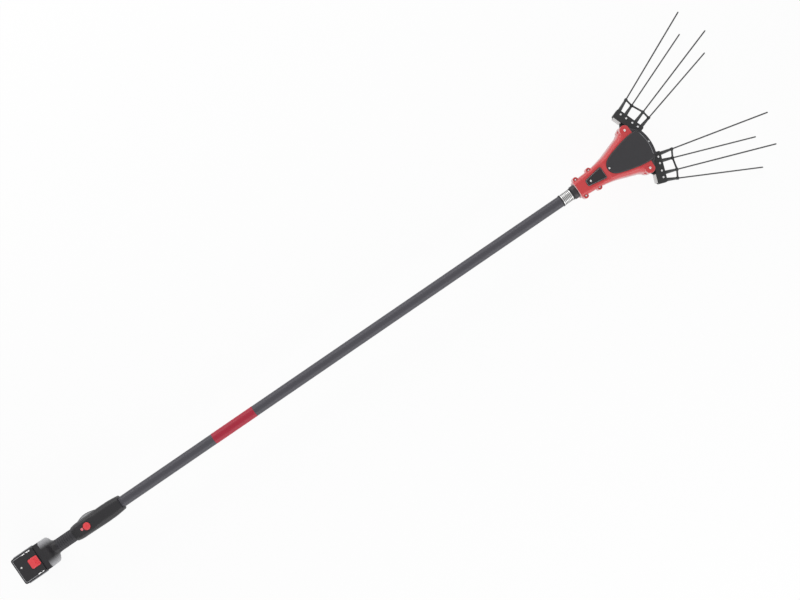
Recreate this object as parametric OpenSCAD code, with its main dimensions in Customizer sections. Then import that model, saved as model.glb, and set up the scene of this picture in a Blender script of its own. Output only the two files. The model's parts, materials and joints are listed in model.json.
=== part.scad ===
// Electric olive harvester: a slide-on battery in a foot, a switch grip, a long pole
// and a two-lobed head that swings two rakes of tines against each other.
// Millimetres. X runs along the pole to the head, Z is up, away from the floor it lies on.
// The origin is the middle of the foot's flat base.

/* [Pole and handle] */
// Outer diameter of the pole tube
pole_d = 30; // [27:0.5:32]
// Wall of the pole tube
pole_wall = 1.5; // [1:0.25:2.5]
// Bare length of pole between the switch grip and the ferrule
pole_bare_len = 1401; // [800:1:2200]
// Length of pole held inside the head
pole_insert = 45; // [30:1:47]
// Outer diameter of the rear handle sleeve
sleeve_d = 35.5; // [33:0.5:40]
// Length of the rear handle sleeve
sleeve_len = 67; // [40:1:140]
// Length of the red band round the pole
label_len = 129; // [40:1:250]
// Distance from the grip to the red band
label_gap = 296; // [50:1:400]
// Thickness of the red band
label_t = 0.25; // [0.1:0.05:0.5]
// Diameter of the power lead inside the pole
lead_d = 5; // [3:0.5:7]

/* [Foot and rail] */
// Length of the foot along the pole
foot_len = 32; // [28:1:40]
// Width of the foot at the battery
foot_w = 75; // [70:1:82]
// Width of the foot across its ears
ear_w = 68; // [60:1:70]
// Width of the foot's column and of the rail plate at the floor
column_w = 34; // [30:1:36]
// Height of the foot
foot_h = 112; // [105:1:116]
// Thickness of the plate that carries the rail
rail_plate_t = 15; // [12:0.5:16]
// Width of the T rail's head
rail_head_w = 52; // [46:1:56]
// Width of the T rail's neck
rail_neck_w = 40; // [34:1:42]
// Thickness of the T rail's head and of its neck
rail_t = 4.5; // [3.5:0.5:5]
// Height of the T rail's lower end above the floor
rail_foot = 6; // [4:1:12]
// Length of the T rail
rail_len = 90; // [80:1:92]

/* [Battery] */
// Depth of the battery pack, along the pole
pack_depth = 66; // [62:1:80]
// Width of the battery pack
pack_w = 75; // [72:1:82]
// Length of the battery pack, along the rail
pack_len = 115; // [112:1:125]
// Height of the pack above the floor
pack_lift = 1; // [0.5:0.5:3]
// Wall of the pack's case
pack_wall = 3; // [2:0.25:3]
// Thickness of the rail-side half of the case
pack_top_t = 30; // [29:0.5:32]
// Diameter of one cell
cell_d = 18; // [17:0.5:18]
// Length of one cell
cell_len = 65; // [60:0.5:65]
// Side of the square release button
release_w = 27; // [20:0.5:28]
// Travel of the release button
release_travel = 3; // [1.5:0.5:3]

/* [Switch grip] */
// Length of the switch grip
grip_len = 146; // [130:1:180]
// Greatest width of the switch grip
grip_w = 48; // [46:1:52]
// Height of the grip's hump above the pole axis
grip_rise = 30; // [29:0.5:34]
// Depth of the grip below the pole axis
grip_drop = 24; // [23:0.5:28]
// Wall of the grip halves
grip_wall = 2.5; // [2:0.25:3]
// Diameter of the round push button
button_d = 20; // [16:0.5:22]
// Distance of the push button from the grip's rear end
button_back = 45; // [42:1:50]
// Travel of the push button
button_travel = 2.5; // [1:0.25:2.5]
// Diameter of the status lamp behind the button
lamp_d = 7.5; // [4:0.5:8]
// Distance of the status lamp from the button's centre
lamp_gap = 14.8; // [14.6:0.1:16]
// Length of the side lever from pin to tip
lever_len = 54; // [45:1:60]
// Height of the side lever
lever_h = 12; // [8:0.5:14]
// Distance of the lever's pin from the grip's rear end
lever_pin_back = 78; // [75:1:85]

/* [Head shells] */
// Length of the head's neck
neck_len = 122.7; // [115:0.1:140]
// Distance of the rake pivots from the end of the neck
pivot_ahead = 63.3; // [62:0.1:70]
// Distance of the front of the shells from the rake pivots
nose_ahead = 37.7; // [35:0.1:42]
// Greatest width of the shells, across the shoulders
head_w = 148; // [146:1:156]
// Height of the deck above the pole axis
head_rise = 35; // [33:0.5:40]
// Depth of the shells below the pole axis
head_drop = 40; // [38:0.5:46]
// Height of the neck above and below the pole axis
neck_rise = 27; // [25:0.5:29]
// Wall of the shells
shell_wall = 3; // [2.5:0.25:3.5]
// Radius of the rounded front of the shells
nose_r = 110; // [90:1:130]
// Diameter of the round shoulders over the pivots
shoulder_d = 27; // [24:0.5:30]
// Height of the shoulders' flat tops above the pole axis
shoulder_rise = 34; // [33:0.5:36]
// Distance between the two rake pivots
pivot_span = 118; // [116:0.5:120]
// Thickness of the centre cover
cover_t = 3.5; // [2:0.25:5]
// Diameter of the screw bosses on the neck
boss_d = 14; // [11:0.5:15]

/* [Pole end] */
// Length of the grooved ferrule
ferrule_len = 34; // [20:1:50]
// Outer diameter of the ferrule
ferrule_d = 31.6; // [31:0.1:34]
// Length of the collar below the neck
collar_len = 15; // [10:0.5:25]
// Outer diameter of the collar
collar_d = 37; // [34:0.5:40]

/* [Drive] */
// Teeth of the motor's pinion
pinion_teeth = 12; // [12:1:14]
// Teeth of the crank gear
crank_teeth = 48; // [46:2:48]
// Tooth size of the pinion and crank gear
gear_module = 1; // [0.95:0.05:1]
// Thickness of the gears and of the rake arms
gear_t = 8; // [6:0.5:9]
// Crank radius
crank_r = 6.5; // [5:0.25:7]
// Distance of the crank axis behind the rake pivots
crank_reach = 52; // [50:0.5:54]
// Distance of the lever pin from its rake's pivot
lever_r = 45; // [43:0.5:46]
// Thickness of the drive rod
rod_t = 5; // [4:0.5:6]
// Teeth of a full circle of the sectors that gear the rakes together
sector_teeth = 59; // [55:2:63]
// Diameter of the motor's rotor
rotor_d = 37; // [32:0.5:37]
// Height of the motor's rotor
rotor_h = 20; // [16:0.5:20]

/* [Rakes] */
// Angle between each rake and the pole
rake_splay = 20; // [18:0.5:22]
// Distance from a pivot to the line of tine roots
root_reach = 43; // [43:0.5:48]
// Sideways shift of a carrier from its pivot
root_side = 3.3; // [2:0.1:4]
// Diameter of the rake hubs
hub_d = 33; // [32:0.5:33]
// Height of the rake hubs
hub_h = 29; // [27:0.5:29]
// Length of a tine carrier across the rake
carrier_w = 84; // [80:1:86]
// Depth of a tine carrier
carrier_depth = 25.5; // [24:0.5:25.5]
// Height of a tine carrier
carrier_h = 22; // [18:0.5:22]
// Distance between the outer two tine roots
tine_outer_span = 71; // [69:0.5:72]
// Distance between the inner two tine roots
tine_inner_span = 32.4; // [31:0.2:34]
// Length of a tine from its root
tine_len = 288; // [200:1:340]
// Diameter of a tine
tine_d = 3.8; // [3:0.1:4.2]
// Angle of the tines above and below the rake's plane
tine_tilt = 14; // [13:0.5:17]
// Fan angle of the outer tines
tine_fan = 6; // [4:0.5:8]
// Fan angle of the inner tines
tine_inner_fan = 0.7; // [0:0.1:2]
// Diameter of the sleeve over a tine's root
root_sleeve_d = 6.6; // [6:0.2:7]
// Length of the sleeve over a tine's root
root_sleeve_len = 35; // [33:0.5:45]
// Diameter of the bars of the brace between the sleeves
brace_d = 3.4; // [2.6:0.2:4]

/* [Hidden] */
$fn = 48;

// Clearances: a pin or tube in its bore, and pieces that pass each other
fit_gap = 0.05;
run_gap = 0.4;
// Extra length of every cut
overrun = 1;

// Screws: head and shank of the case screws and of the small screws
screw_head_d = 6.6;
screw_head_h = 2.4;
screw_shank_d = 3;
screw_socket_d = 3.4;
screw_socket_depth = 1.4;

// Places along the pole
axis_z = (tine_len - tine_d / 2) * sin(tine_tilt) + tine_d / 2;
foot_back = -foot_len / 2;
foot_front = foot_len / 2;
foot_split = foot_back + rail_plate_t;
grip_x = foot_front + sleeve_len;
grip_end = grip_x + grip_len;
ferrule_x = grip_end + pole_bare_len;
collar_x = ferrule_x + ferrule_len;
head_x = collar_x + collar_len;

// Places along the head, from the neck's base
pivot_along = neck_len + pivot_ahead;
head_len = pivot_along + nose_ahead;
crank_along = pivot_along - crank_reach;
motor_along = crank_along - gear_module * (crank_teeth + pinion_teeth) / 2;

// Helpers

function mirrored(pts) = concat(pts, [for (i = [len(pts) - 1 : -1 : 0]) [pts[i][0], -pts[i][1]]]);

module at_axis(x) {
    translate([x, 0, axis_z]) children();
}

module at_head(along = 0, side = 0, up = 0) {
    translate([head_x + along, side, axis_z + up]) children();
}

module both_sides() {
    for (side = [-1, 1]) scale([1, side, 1]) children();
}

module tube_along_x(d, bore, length) {
    rotate([0, 90, 0]) difference() {
        cylinder(d = d, h = length);
        translate([0, 0, -overrun]) cylinder(d = bore, h = length + 2 * overrun);
    }
}

module rod_along_x(d, length) {
    rotate([0, 90, 0]) cylinder(d = d, h = length);
}

module rounded_rect(length, width, r) {
    square([length, width - 2 * r], center = true);
    square([length - 2 * r, width], center = true);
    for (x = [-1, 1], y = [-1, 1]) translate([x * (length / 2 - r), y * (width / 2 - r)]) circle(r);
}

// A screw standing on z = 0 with its shank pointing down
module screw(shank_len, head_d = screw_head_d) {
    difference() {
        union() {
            cylinder(d = head_d, h = screw_head_h);
            translate([0, 0, -shank_len]) cylinder(d = screw_shank_d, h = shank_len + screw_head_h / 2);
        }
        translate([0, 0, screw_head_h - screw_socket_depth])
            cylinder(d = screw_socket_d, h = screw_socket_depth + overrun, $fn = 6);
    }
}

module screw_hole(depth) {
    translate([0, 0, -depth]) cylinder(d = screw_shank_d + 2 * fit_gap, h = depth + overrun);
}

// Arched section of a station: place, half width, half width of the flat top, height
// and height of the upright edge
arch_steps = 5;
function arch(s) = concat(
    [[s[0], s[1], 0]],
    [for (k = [0 : arch_steps]) let (a = 90 * k / arch_steps)
        [s[0], s[2] + (s[1] - s[2]) * cos(a), s[4] + (s[3] - s[4]) * sin(a)]],
    [for (k = [arch_steps : -1 : 0]) let (a = 90 * k / arch_steps)
        [s[0], -s[2] - (s[1] - s[2]) * cos(a), s[4] + (s[3] - s[4]) * sin(a)]],
    [[s[0], -s[1], 0]]
);
arch_n = 2 * arch_steps + 4;

// The faces between two neighbouring rows of arch points, turned over when flip is set
function skin(rows, first, flip) = [
    for (i = [0 : rows - 2], j = [0 : arch_n - 2], half = [0, 1]) let (
        a = first + i * arch_n + j,
        b = a + 1,
        c = a + arch_n,
        d = c + 1,
        t = half == 0 ? [a, b, c] : [b, d, c]
    ) flip ? [t[2], t[1], t[0]] : t
];
function flipped(f) = [for (i = [len(f) - 1 : -1 : 0]) f[i]];

// A polyhedron from faces that run anticlockwise seen from outside
module solid(pts, faces) {
    polyhedron(pts, [for (f = faces) flipped(f)]);
}

// A closed solid over a list of stations, flat underneath
module loft(stations) {
    rows = len(stations);
    pts = [for (s = stations) each arch(s)];
    back = [for (j = [0 : arch_n - 1]) j];
    front = [for (j = [0 : arch_n - 1]) (rows - 1) * arch_n + j];
    floor = [
        for (i = [0 : rows - 2], half = [0, 1]) let (
            a = i * arch_n,
            b = a + arch_n - 1,
            c = a + arch_n,
            d = c + arch_n - 1
        ) half == 0 ? [a, c, b] : [c, d, b]
    ];
    solid(pts, concat(skin(rows, 0, false), [flipped(back), front], floor));
}

// A shell of even wall, open underneath, over a list of stations
function inner_station(s, wall, x0, x1) = [
    x0 + wall + (s[0] - x0) * (x1 - x0 - 2 * wall) / (x1 - x0),
    max(s[1] - wall, s[1] * inner_least_share),
    max(min(s[2], s[1] - wall) - wall / 2, s[1] * inner_least_share / 2),
    s[3] - wall,
    s[4] - wall / 2
];
inner_least_share = 0.3;
function half_at(stations, x) = lookup(x, [for (s = stations) [s[0], s[1]]]);

module shell(stations, wall) {
    rows = len(stations);
    x0 = stations[0][0];
    x1 = stations[rows - 1][0];
    inner = [for (s = stations) inner_station(s, wall, x0, x1)];
    first = rows * arch_n;
    pts = concat([for (s = stations) each arch(s)], [for (s = inner) each arch(s)]);
    back = [for (j = [0 : arch_n - 1]) j];
    front = [for (j = [0 : arch_n - 1]) (rows - 1) * arch_n + j];
    back_in = [for (j = back) j + first];
    front_in = [for (j = front) j + first];
    rim = [
        for (i = [0 : rows - 2], side = [0, 1], half = [0, 1]) let (
            a = i * arch_n + side * (arch_n - 1),
            b = a + arch_n,
            c = a + first,
            d = b + first,
            t = half == 0 ? [a, b, c] : [b, d, c]
        ) side == 0 ? t : flipped(t)
    ];
    last = (rows - 1) * arch_n;
    ends = [
        [0, first, arch_n - 1], [first, first + arch_n - 1, arch_n - 1],
        [last, last + arch_n - 1, first + last],
        [last + arch_n - 1, first + last + arch_n - 1, first + last]
    ];
    solid(pts, concat(
        skin(rows, 0, false), skin(rows, first, true),
        [flipped(back), front, back_in, flipped(front_in)], rim, ends
    ));
}

// A straight round bar between two points
module bar(p, q, d) {
    v = q - p;
    translate(p) rotate([0, acos(v[2] / norm(v)), atan2(v[1], v[0])]) cylinder(d = d, h = norm(v));
}

// A coil spring on z = 0, swept as one unbroken tube
spring_wire = 0.9;
spring_sides = 6;
spring_rings = 8;
module coil(d, height, turns) {
    n = turns * spring_rings;
    rise = (height - spring_wire) / n;
    pts = [
        for (i = [0 : n], k = [0 : spring_sides - 1]) let (
            a = 360 * i / spring_rings,
            b = 360 * k / spring_sides,
            r = d / 2 + spring_wire / 2 * cos(b)
        ) [r * cos(a), r * sin(a), spring_wire / 2 + i * rise + spring_wire / 2 * sin(b)]
    ];
    sides = [
        for (i = [0 : n - 1], k = [0 : spring_sides - 1], half = [0, 1]) let (
            a = i * spring_sides + k,
            b = i * spring_sides + (k + 1) % spring_sides,
            c = a + spring_sides,
            e = b + spring_sides
        ) half == 0 ? [a, b, c] : [b, e, c]
    ];
    start = [for (k = [0 : spring_sides - 1]) k];
    finish = [for (k = [spring_sides - 1 : -1 : 0]) n * spring_sides + k];
    solid(pts, concat(sides, [flipped(start), flipped(finish)]));
}

// Involute teeth: pressure angle, and the tooth's height and slack as shares of the module
pressure_angle = 25;
addendum_share = 0.8;
dedendum_share = 1.1;
backlash_share = 0.1;
flank_steps = 3;
function involute(r, base) = let (a = acos(min(1, base / r))) tan(a) * 180 / PI - a;
function tooth(n, m) = let (
    rp = n * m / 2,
    base = rp * cos(pressure_angle),
    root = rp - dedendum_share * m,
    tip = rp + addendum_share * m,
    half = 90 / n - backlash_share * m / rp * 90 / PI + involute(rp, base),
    low = max(root, base),
    flank = [
        for (k = [0 : flank_steps]) let (r = low + (tip - low) * k / flank_steps)
            [r, half - involute(r, base)]
    ]
) concat(
    [[root, -flank[0][1]]], [for (f = flank) [f[0], -f[1]]],
    [for (k = [flank_steps : -1 : 0]) flank[k]], [[root, flank[0][1]]]
);
function teeth(n, m, middles) = [
    for (c = middles, p = tooth(n, m)) [p[0] * cos(p[1] + c), p[0] * sin(p[1] + c)]
];
module gear(n, m, bore, turn = 0) {
    linear_extrude(gear_t, center = true) difference() {
        polygon(teeth(n, m, [for (i = [0 : n - 1]) turn + 360 * i / n]));
        circle(d = bore);
    }
}

// Foot and rail

foot_wall = 4;
foot_lip = 4;
ear_r = 9;
ear_low = 70;
ear_chamfer = 6;
foot_waist = 40;
socket_d = 44;
foot_cavity_w = 50;
foot_cavity_low = 62;
foot_cavity_len = 8;
foot_screw_side = 31;
foot_screw_low = 68;
foot_screw_top = 12;
foot_screw_depth = 18;
rail_x = foot_back - 2 * rail_t;
rail_top = rail_foot + rail_len;
terminal_t = 6;
terminal_w = 30;
terminal_len = 30;
terminal_drop = 6;
plate_flare = 60;
plate_cavity = 8;
plate_cavity_w = 26;

module foot_screw_places() {
    for (side = [-1, 1], z = [foot_screw_low, foot_h - foot_screw_top])
        translate([foot_back + screw_head_h, side * foot_screw_side, z]) rotate([0, -90, 0]) children();
}

// The flared ears, as the common part of their plan and their side view
module foot_ears() {
    intersection() {
        linear_extrude(foot_h) hull() {
            translate([foot_split, -foot_w / 2]) square([foot_lip, foot_w]);
            for (side = [-1, 1]) translate([foot_front - ear_r, side * (ear_w / 2 - ear_r)]) circle(ear_r);
        }
        rotate([90, 0, 0]) linear_extrude(foot_w + overrun, center = true) polygon([
            [foot_split, foot_waist], [foot_front, ear_low], [foot_front, foot_h - ear_chamfer],
            [foot_front - ear_chamfer, foot_h], [foot_split, foot_h]
        ]);
    }
}

module foot_housing() {
    color("#5a5b5f") difference() {
        union() {
            foot_ears();
            translate([foot_split, -column_w / 2, 0]) cube([foot_front - foot_split, column_w, axis_z]);
            at_axis(foot_split) rod_along_x(socket_d, foot_front - foot_split);
        }
        difference() {
            translate([foot_split - overrun, -foot_cavity_w / 2, foot_cavity_low])
                cube([foot_cavity_len + overrun, foot_cavity_w, foot_h - foot_wall - foot_cavity_low]);
            at_axis(foot_split - 2 * overrun) rod_along_x(socket_d, foot_len);
        }
        at_axis(foot_split - overrun) rod_along_x(pole_d + 2 * fit_gap, foot_len);
        foot_screw_places() screw_hole(foot_screw_depth);
    }
}

module rail_plate() {
    color("#2c2b2f") difference() {
        union() {
            translate([foot_split, 0, 0]) rotate([0, -90, 0]) linear_extrude(rail_plate_t) polygon(mirrored([
                [0, column_w / 2], [rail_foot, rail_neck_w / 2], [plate_flare, foot_w / 2],
                [foot_h, foot_w / 2]
            ]));
            translate([foot_back - rail_t, -rail_neck_w / 2, rail_foot])
                cube([rail_t, rail_neck_w, rail_len]);
            translate([rail_x, -rail_head_w / 2, rail_foot]) cube([rail_t, rail_head_w, rail_len]);
        }
        translate([foot_split - plate_cavity, -plate_cavity_w / 2, rail_foot])
            cube([plate_cavity + overrun, plate_cavity_w, rail_len / 2]);
        foot_screw_places() {
            screw_hole(foot_screw_depth);
            cylinder(d = screw_head_d + 2 * fit_gap, h = screw_head_h + overrun);
        }
    }
}

module terminal_block() {
    blades = 4;
    blade_pitch = terminal_w / blades;
    blade_cut = blade_pitch / 2;
    base = rail_top - terminal_drop - terminal_len;
    color("#c8a04a")
        translate([rail_x - terminal_t, -terminal_w / 2, base]) difference() {
            cube([terminal_t, terminal_w, terminal_len]);
            for (i = [0 : blades - 1])
                translate([-overrun, (i + 0.5) * blade_pitch - blade_cut / 2, -overrun])
                    cube([terminal_t / 2 + overrun, blade_cut, terminal_len]);
        }
}

// The foot's and the grip's screws are the same
module handle_screws() {
    color("#b9bbbd") {
        foot_screw_places() screw(foot_screw_depth - overrun);
        at_axis(grip_x) grip_screw_places() screw(grip_screw_seat + grip_screw_depth - overrun);
    }
}

// Pole

module pole() {
    color("#55555a") at_axis(foot_split)
        tube_along_x(pole_d, pole_d - 2 * pole_wall, head_x + pole_insert - foot_split);
}

module handle_sleeve() {
    groove = 0.8;
    groove_pitch = 6;
    grooves = floor(sleeve_len / groove_pitch) - 2;
    color("#3b3a3f") at_axis(foot_front) difference() {
        tube_along_x(sleeve_d, pole_d, sleeve_len);
        for (i = [1 : grooves])
            translate([(i + 0.5) * groove_pitch, 0, 0])
                tube_along_x(sleeve_d + overrun, sleeve_d - 2 * groove, groove);
    }
}

module label_band() {
    color("#c8384e") at_axis(grip_end + label_gap)
        tube_along_x(pole_d + 2 * label_t, pole_d, label_len);
}

lead_rise = pole_d / 2 - pole_wall - lead_d / 2 - run_gap / 2;
lead_end = pole_insert + boss_d / 2;

module power_lead() {
    color("#1c1c1e") translate([foot_front, 0, axis_z + lead_rise])
        rod_along_x(lead_d, head_x + lead_end - foot_front);
}

// Battery pack

pack_front = foot_back - run_gap;
pack_back = pack_front - pack_depth;
pack_split = pack_front - pack_top_t;
pack_top_z = pack_lift + pack_len;
pack_r = 6;
pack_screw_low = 5.5;
slot_gap = run_gap;
cell_gap = 0.6;
cell_rows = 5;
cell_columns = 2;
cell_pitch = cell_d + cell_gap;
cell_x = pack_back + pack_wall + run_gap + cell_d / 2;
cell_base = pack_lift + 2 * pack_screw_low;
cell_z = cell_base + run_gap + cell_d / 2;
cell_room = cell_x + cell_pitch + cell_d / 2 + cell_gap;
release_x = pack_front - release_w / 2 - pack_wall / 2;
release_h = 8;
release_proud = 1.5;
release_pocket = release_h - release_proud + release_travel + spring_wire;
pack_screw_side = pack_w / 2 - 2 * pack_wall;
pack_screw_depth = 45;
charge_lamp_d = 5;
charge_lamp_depth = 2;
charge_lamp_side = 6;
charge_lamp_back = 15;

module pack_outline(x0, x1) {
    intersection() {
        translate([(pack_front + pack_back) / 2, 0]) rounded_rect(pack_depth, pack_w, pack_r);
        translate([x0, -pack_w]) square([x1 - x0, 2 * pack_w]);
    }
}

module pack_screw_places() {
    for (side = [-1, 1], z = [pack_lift + pack_screw_low, pack_top_z - pack_screw_low])
        translate([pack_back + screw_head_h, side * pack_screw_side, z]) rotate([0, -90, 0]) children();
}

module cell_cavity() {
    translate([pack_back + pack_wall, -cell_len / 2 - run_gap, cell_base])
        cube([cell_room - pack_back - pack_wall, cell_len + 2 * run_gap, cell_rows * cell_pitch + run_gap]);
}

module battery_tub() {
    color("#38363b") difference() {
        translate([0, 0, pack_lift]) linear_extrude(pack_len) pack_outline(pack_back, pack_split);
        cell_cavity();
        pack_screw_places() {
            screw_hole(pack_screw_depth);
            cylinder(d = screw_head_d + 2 * fit_gap, h = screw_head_h + overrun);
        }
        translate([pack_back + charge_lamp_back, charge_lamp_side, pack_top_z - charge_lamp_depth])
            cylinder(d = charge_lamp_d + 2 * fit_gap, h = charge_lamp_depth + overrun);
    }
}

module battery_top() {
    slot_top = rail_top + slot_gap;
    color("#2f2d32") difference() {
        translate([0, 0, pack_lift]) linear_extrude(pack_len) pack_outline(pack_split, pack_front);
        cell_cavity();
        translate([foot_back - rail_t - slot_gap, -rail_neck_w / 2 - slot_gap, 0])
            cube([rail_t + slot_gap, rail_neck_w + 2 * slot_gap, slot_top]);
        translate([rail_x - slot_gap, -rail_head_w / 2 - slot_gap, 0])
            cube([rail_t + 2 * slot_gap, rail_head_w + 2 * slot_gap, slot_top]);
        translate([rail_x - terminal_t - slot_gap, -terminal_w / 2 - slot_gap, 0])
            cube([terminal_t + slot_gap, terminal_w + 2 * slot_gap, slot_top - terminal_drop]);
        pack_screw_places() screw_hole(pack_screw_depth);
        translate([release_x, 0, pack_top_z - release_pocket]) linear_extrude(release_pocket + overrun)
            square(release_w + 2 * run_gap, center = true);
    }
}

module battery_cells() {
    color("#3f7fb0") for (i = [0 : cell_columns - 1], k = [0 : cell_rows - 1])
        translate([cell_x + i * cell_pitch, cell_len / 2, cell_z + k * cell_pitch])
            rotate([90, 0, 0]) cylinder(d = cell_d, h = cell_len);
}

module battery_screws() {
    color("#b9bbbd") pack_screw_places() screw(pack_screw_depth);
}

release_spring_d = 12;
release_spring_turns = 3;

module release_button() {
    corner = 4;
    ribs = 3;
    rib_w = 1.6;
    rib_depth = 0.8;
    well = release_spring_d + 2 * spring_wire;
    well_depth = release_h / 2;
    color("#f1464c") translate([release_x, 0, pack_top_z + release_proud - release_h]) difference() {
        linear_extrude(release_h) rounded_rect(release_w, release_w, corner);
        for (i = [1 : ribs])
            translate([release_w / 2 - 2 * i * rib_w - rib_w, -release_w / 3, release_h - rib_depth])
                cube([rib_w, release_w * 2 / 3, rib_depth + overrun]);
        translate([0, 0, -overrun]) cylinder(d = well, h = well_depth + overrun);
    }
}

module release_spring() {
    room = release_pocket - release_h + release_proud + release_h / 2 - 2 * fit_gap;
    color("silver") translate([release_x, 0, pack_top_z - release_pocket + fit_gap])
        coil(release_spring_d, room, release_spring_turns);
}

module charge_lamp() {
    color("#f2f2ee")
        translate([pack_back + charge_lamp_back, charge_lamp_side, pack_top_z - charge_lamp_depth])
            cylinder(d = charge_lamp_d, h = charge_lamp_depth);
}

// Switch grip: stations as shares of its length, half width, rise and drop

grip_shares = [
    [0, 0.85, 0.3, 0.72], [0.06, 0.92, 0.36, 0.88], [0.11, 0.95, 0.52, 1], [0.4, 0.97, 0.52, 1],
    [0.5, 0.985, 0.36, 0.93], [0.62, 1, 0.34, 0.86], [0.8, 0.98, 0.34, 0.82], [0.94, 0.9, 0.32, 0.76],
    [1, 0.84, 0.3, 0.7]
];
grip_lower_shares = [0.84, 0.9, 0.96, 1, 1, 1, 0.98, 0.92, 0.84];
grip_edge_share = 0.2;
grip_top_stations = [
    for (s = grip_shares) [s[0] * grip_len, s[1] * grip_w / 2, s[2] * grip_w / 2, s[3] * grip_rise,
        grip_edge_share * s[3] * grip_rise]
];
grip_low_stations = [
    for (i = [0 : len(grip_shares) - 1]) let (s = grip_shares[i], low = grip_lower_shares[i])
        [s[0] * grip_len, s[1] * grip_w / 2, s[2] * grip_w / 2, low * grip_drop,
            grip_edge_share * low * grip_drop]
];
grip_saddle_t = 5;
grip_saddle_inset = 9;
grip_saddle_h = 9;
grip_screw_inset = 11.5;
grip_screw_side = 18.2;
grip_screw_depth = 11;
grip_screw_boss = 5.6;
grip_screw_seat = 11;
lever_w = 9.4;
lever_side = 19.6;
lever_pin_d = 3;
lever_pin_len = 20;
lever_slot_gap = 0.6;
lever_eye_d = 6.5;
lever_squeeze = 3;
button_flange = 1.4;
button_flange_t = 1.5;
button_rim = 1.6;
switch_w = 13;
switch_len = 20;
deck = grip_rise - grip_wall;
lamp_depth = grip_wall;
lamp_x = button_back - lamp_gap;

module grip_saddles() {
    for (x = [grip_saddle_inset, grip_len - grip_saddle_inset - grip_saddle_t])
        let (w = 2 * half_at(grip_top_stations, x) - grip_wall)
            translate([x, -w / 2, 0]) cube([grip_saddle_t, w, grip_saddle_h]);
}

module grip_screw_places() {
    for (x = [grip_screw_inset, grip_len - grip_screw_inset], side = [-1, 1])
        translate([x, side * grip_screw_side, -grip_screw_seat]) rotate([180, 0, 0]) children();
}

module lever_slot() {
    slot_h = lever_h + 2 * lever_slot_gap;
    slot_len = lever_len + lever_eye_d / 2 + 2 * lever_slot_gap;
    slot_side = lever_side - lever_squeeze - lever_slot_gap;
    translate([lever_pin_back - lever_len - lever_slot_gap, slot_side, -slot_h / 2])
        cube([slot_len, grip_w, slot_h]);
    translate([lever_pin_back, lever_side, -lever_pin_len / 2])
        cylinder(d = lever_pin_d + 2 * fit_gap, h = lever_pin_len);
}

module lever_pin_bosses() {
    translate([lever_pin_back, lever_side, 0]) cylinder(d = lever_eye_d, h = lever_pin_len / 2);
}

module grip_cuts() {
    translate([-overrun, 0, 0]) rod_along_x(pole_d + 2 * fit_gap, grip_len + 2 * overrun);
    lever_slot();
}

module grip_upper() {
    color("#37353a") at_axis(grip_x) difference() {
        union() {
            shell(grip_top_stations, grip_wall);
            grip_saddles();
            lever_pin_bosses();
            grip_screw_pads();
        }
        grip_cuts();
        grip_screw_places() screw_hole(grip_screw_seat + grip_screw_depth);
        translate([button_back, 0, deck - overrun])
            cylinder(d = button_d + 2 * run_gap, h = grip_wall + 2 * overrun);
        translate([lamp_x, 0, deck - overrun])
            cylinder(d = lamp_d + 2 * fit_gap, h = grip_wall + 2 * overrun);
    }
}

module grip_screw_pads() {
    for (x = [grip_screw_inset, grip_len - grip_screw_inset], side = [-1, 1])
        translate([x, side * grip_screw_side, 0])
            cylinder(d = grip_screw_boss, h = grip_screw_depth + grip_wall / 2);
}

module grip_lower() {
    color("#333136") at_axis(grip_x) difference() {
        union() {
            mirror([0, 0, 1]) {
                shell(grip_low_stations, grip_wall);
                grip_saddles();
                lever_pin_bosses();
                grip_screw_pads();
            }
        }
        grip_cuts();
        grip_screw_places() {
            screw_hole(grip_screw_seat + grip_screw_depth);
            cylinder(d = screw_head_d + 2 * fit_gap, h = grip_drop);
        }
    }
}

button_top = grip_rise + button_rim;
button_low = deck - run_gap - button_flange_t;
switch_top = button_low - button_travel - run_gap;
button_spring_d = 14;
button_spring_turns = 2;

module push_button() {
    dish_r = 28;
    dish = 1;
    color("#f1464c") at_axis(grip_x + button_back) difference() {
        union() {
            translate([0, 0, button_low]) cylinder(d = button_d + 2 * button_flange, h = button_flange_t);
            translate([0, 0, button_low]) cylinder(d = button_d, h = button_top - button_low);
        }
        translate([0, 0, button_top + dish_r - dish]) sphere(dish_r);
        translate([0, 0, button_low - overrun])
            cylinder(d = button_spring_d + 4 * spring_wire, h = button_flange_t + overrun);
    }
}

module button_spring() {
    color("silver") at_axis(grip_x + button_back) translate([0, 0, switch_top])
        coil(button_spring_d, deck - run_gap - switch_top - fit_gap, button_spring_turns);
}

module switch_module() {
    base = pole_d / 2 + run_gap;
    color("#26262a") at_axis(grip_x + button_back) translate([-switch_len / 2, -switch_w / 2, base])
        cube([switch_len, switch_w, switch_top - base]);
}

module status_lamp() {
    color("#f08a90") at_axis(grip_x + lamp_x) translate([0, 0, grip_rise - lamp_depth])
        cylinder(d = lamp_d, h = lamp_depth + button_rim / 4);
}

module side_lever() {
    bow_share = [0, 0.55, 0.9, 1, 0.85, 0.5, 0.1];
    n = len(bow_share) - 1;
    outer = [
        for (i = [0 : n]) [-lever_len + i * lever_len / n, lever_w / 3 + bow_share[i] * lever_w * 2 / 3]
    ];
    color("#6c6b70") at_axis(grip_x) translate([lever_pin_back, 0, 0]) difference() {
        union() {
            translate([0, lever_side, 0]) linear_extrude(lever_h, center = true)
                polygon(concat([[0, 0], [-lever_len, 0]], outer));
            translate([0, lever_side, 0]) cylinder(d = lever_eye_d, h = lever_h, center = true);
        }
        translate([0, lever_side, 0])
            cylinder(d = lever_pin_d + 2 * fit_gap, h = lever_h + overrun, center = true);
    }
}

module lever_hinge_pin() {
    color("#b9bbbd") at_axis(grip_x) translate([lever_pin_back, lever_side, 0])
        cylinder(d = lever_pin_d, h = lever_pin_len, center = true);
}

// Pole end

ring_w = 3;
ring_d = ferrule_d + 1.2;
groove_n = 6;
groove_w = 1.6;
groove_depth = 0.5;

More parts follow.
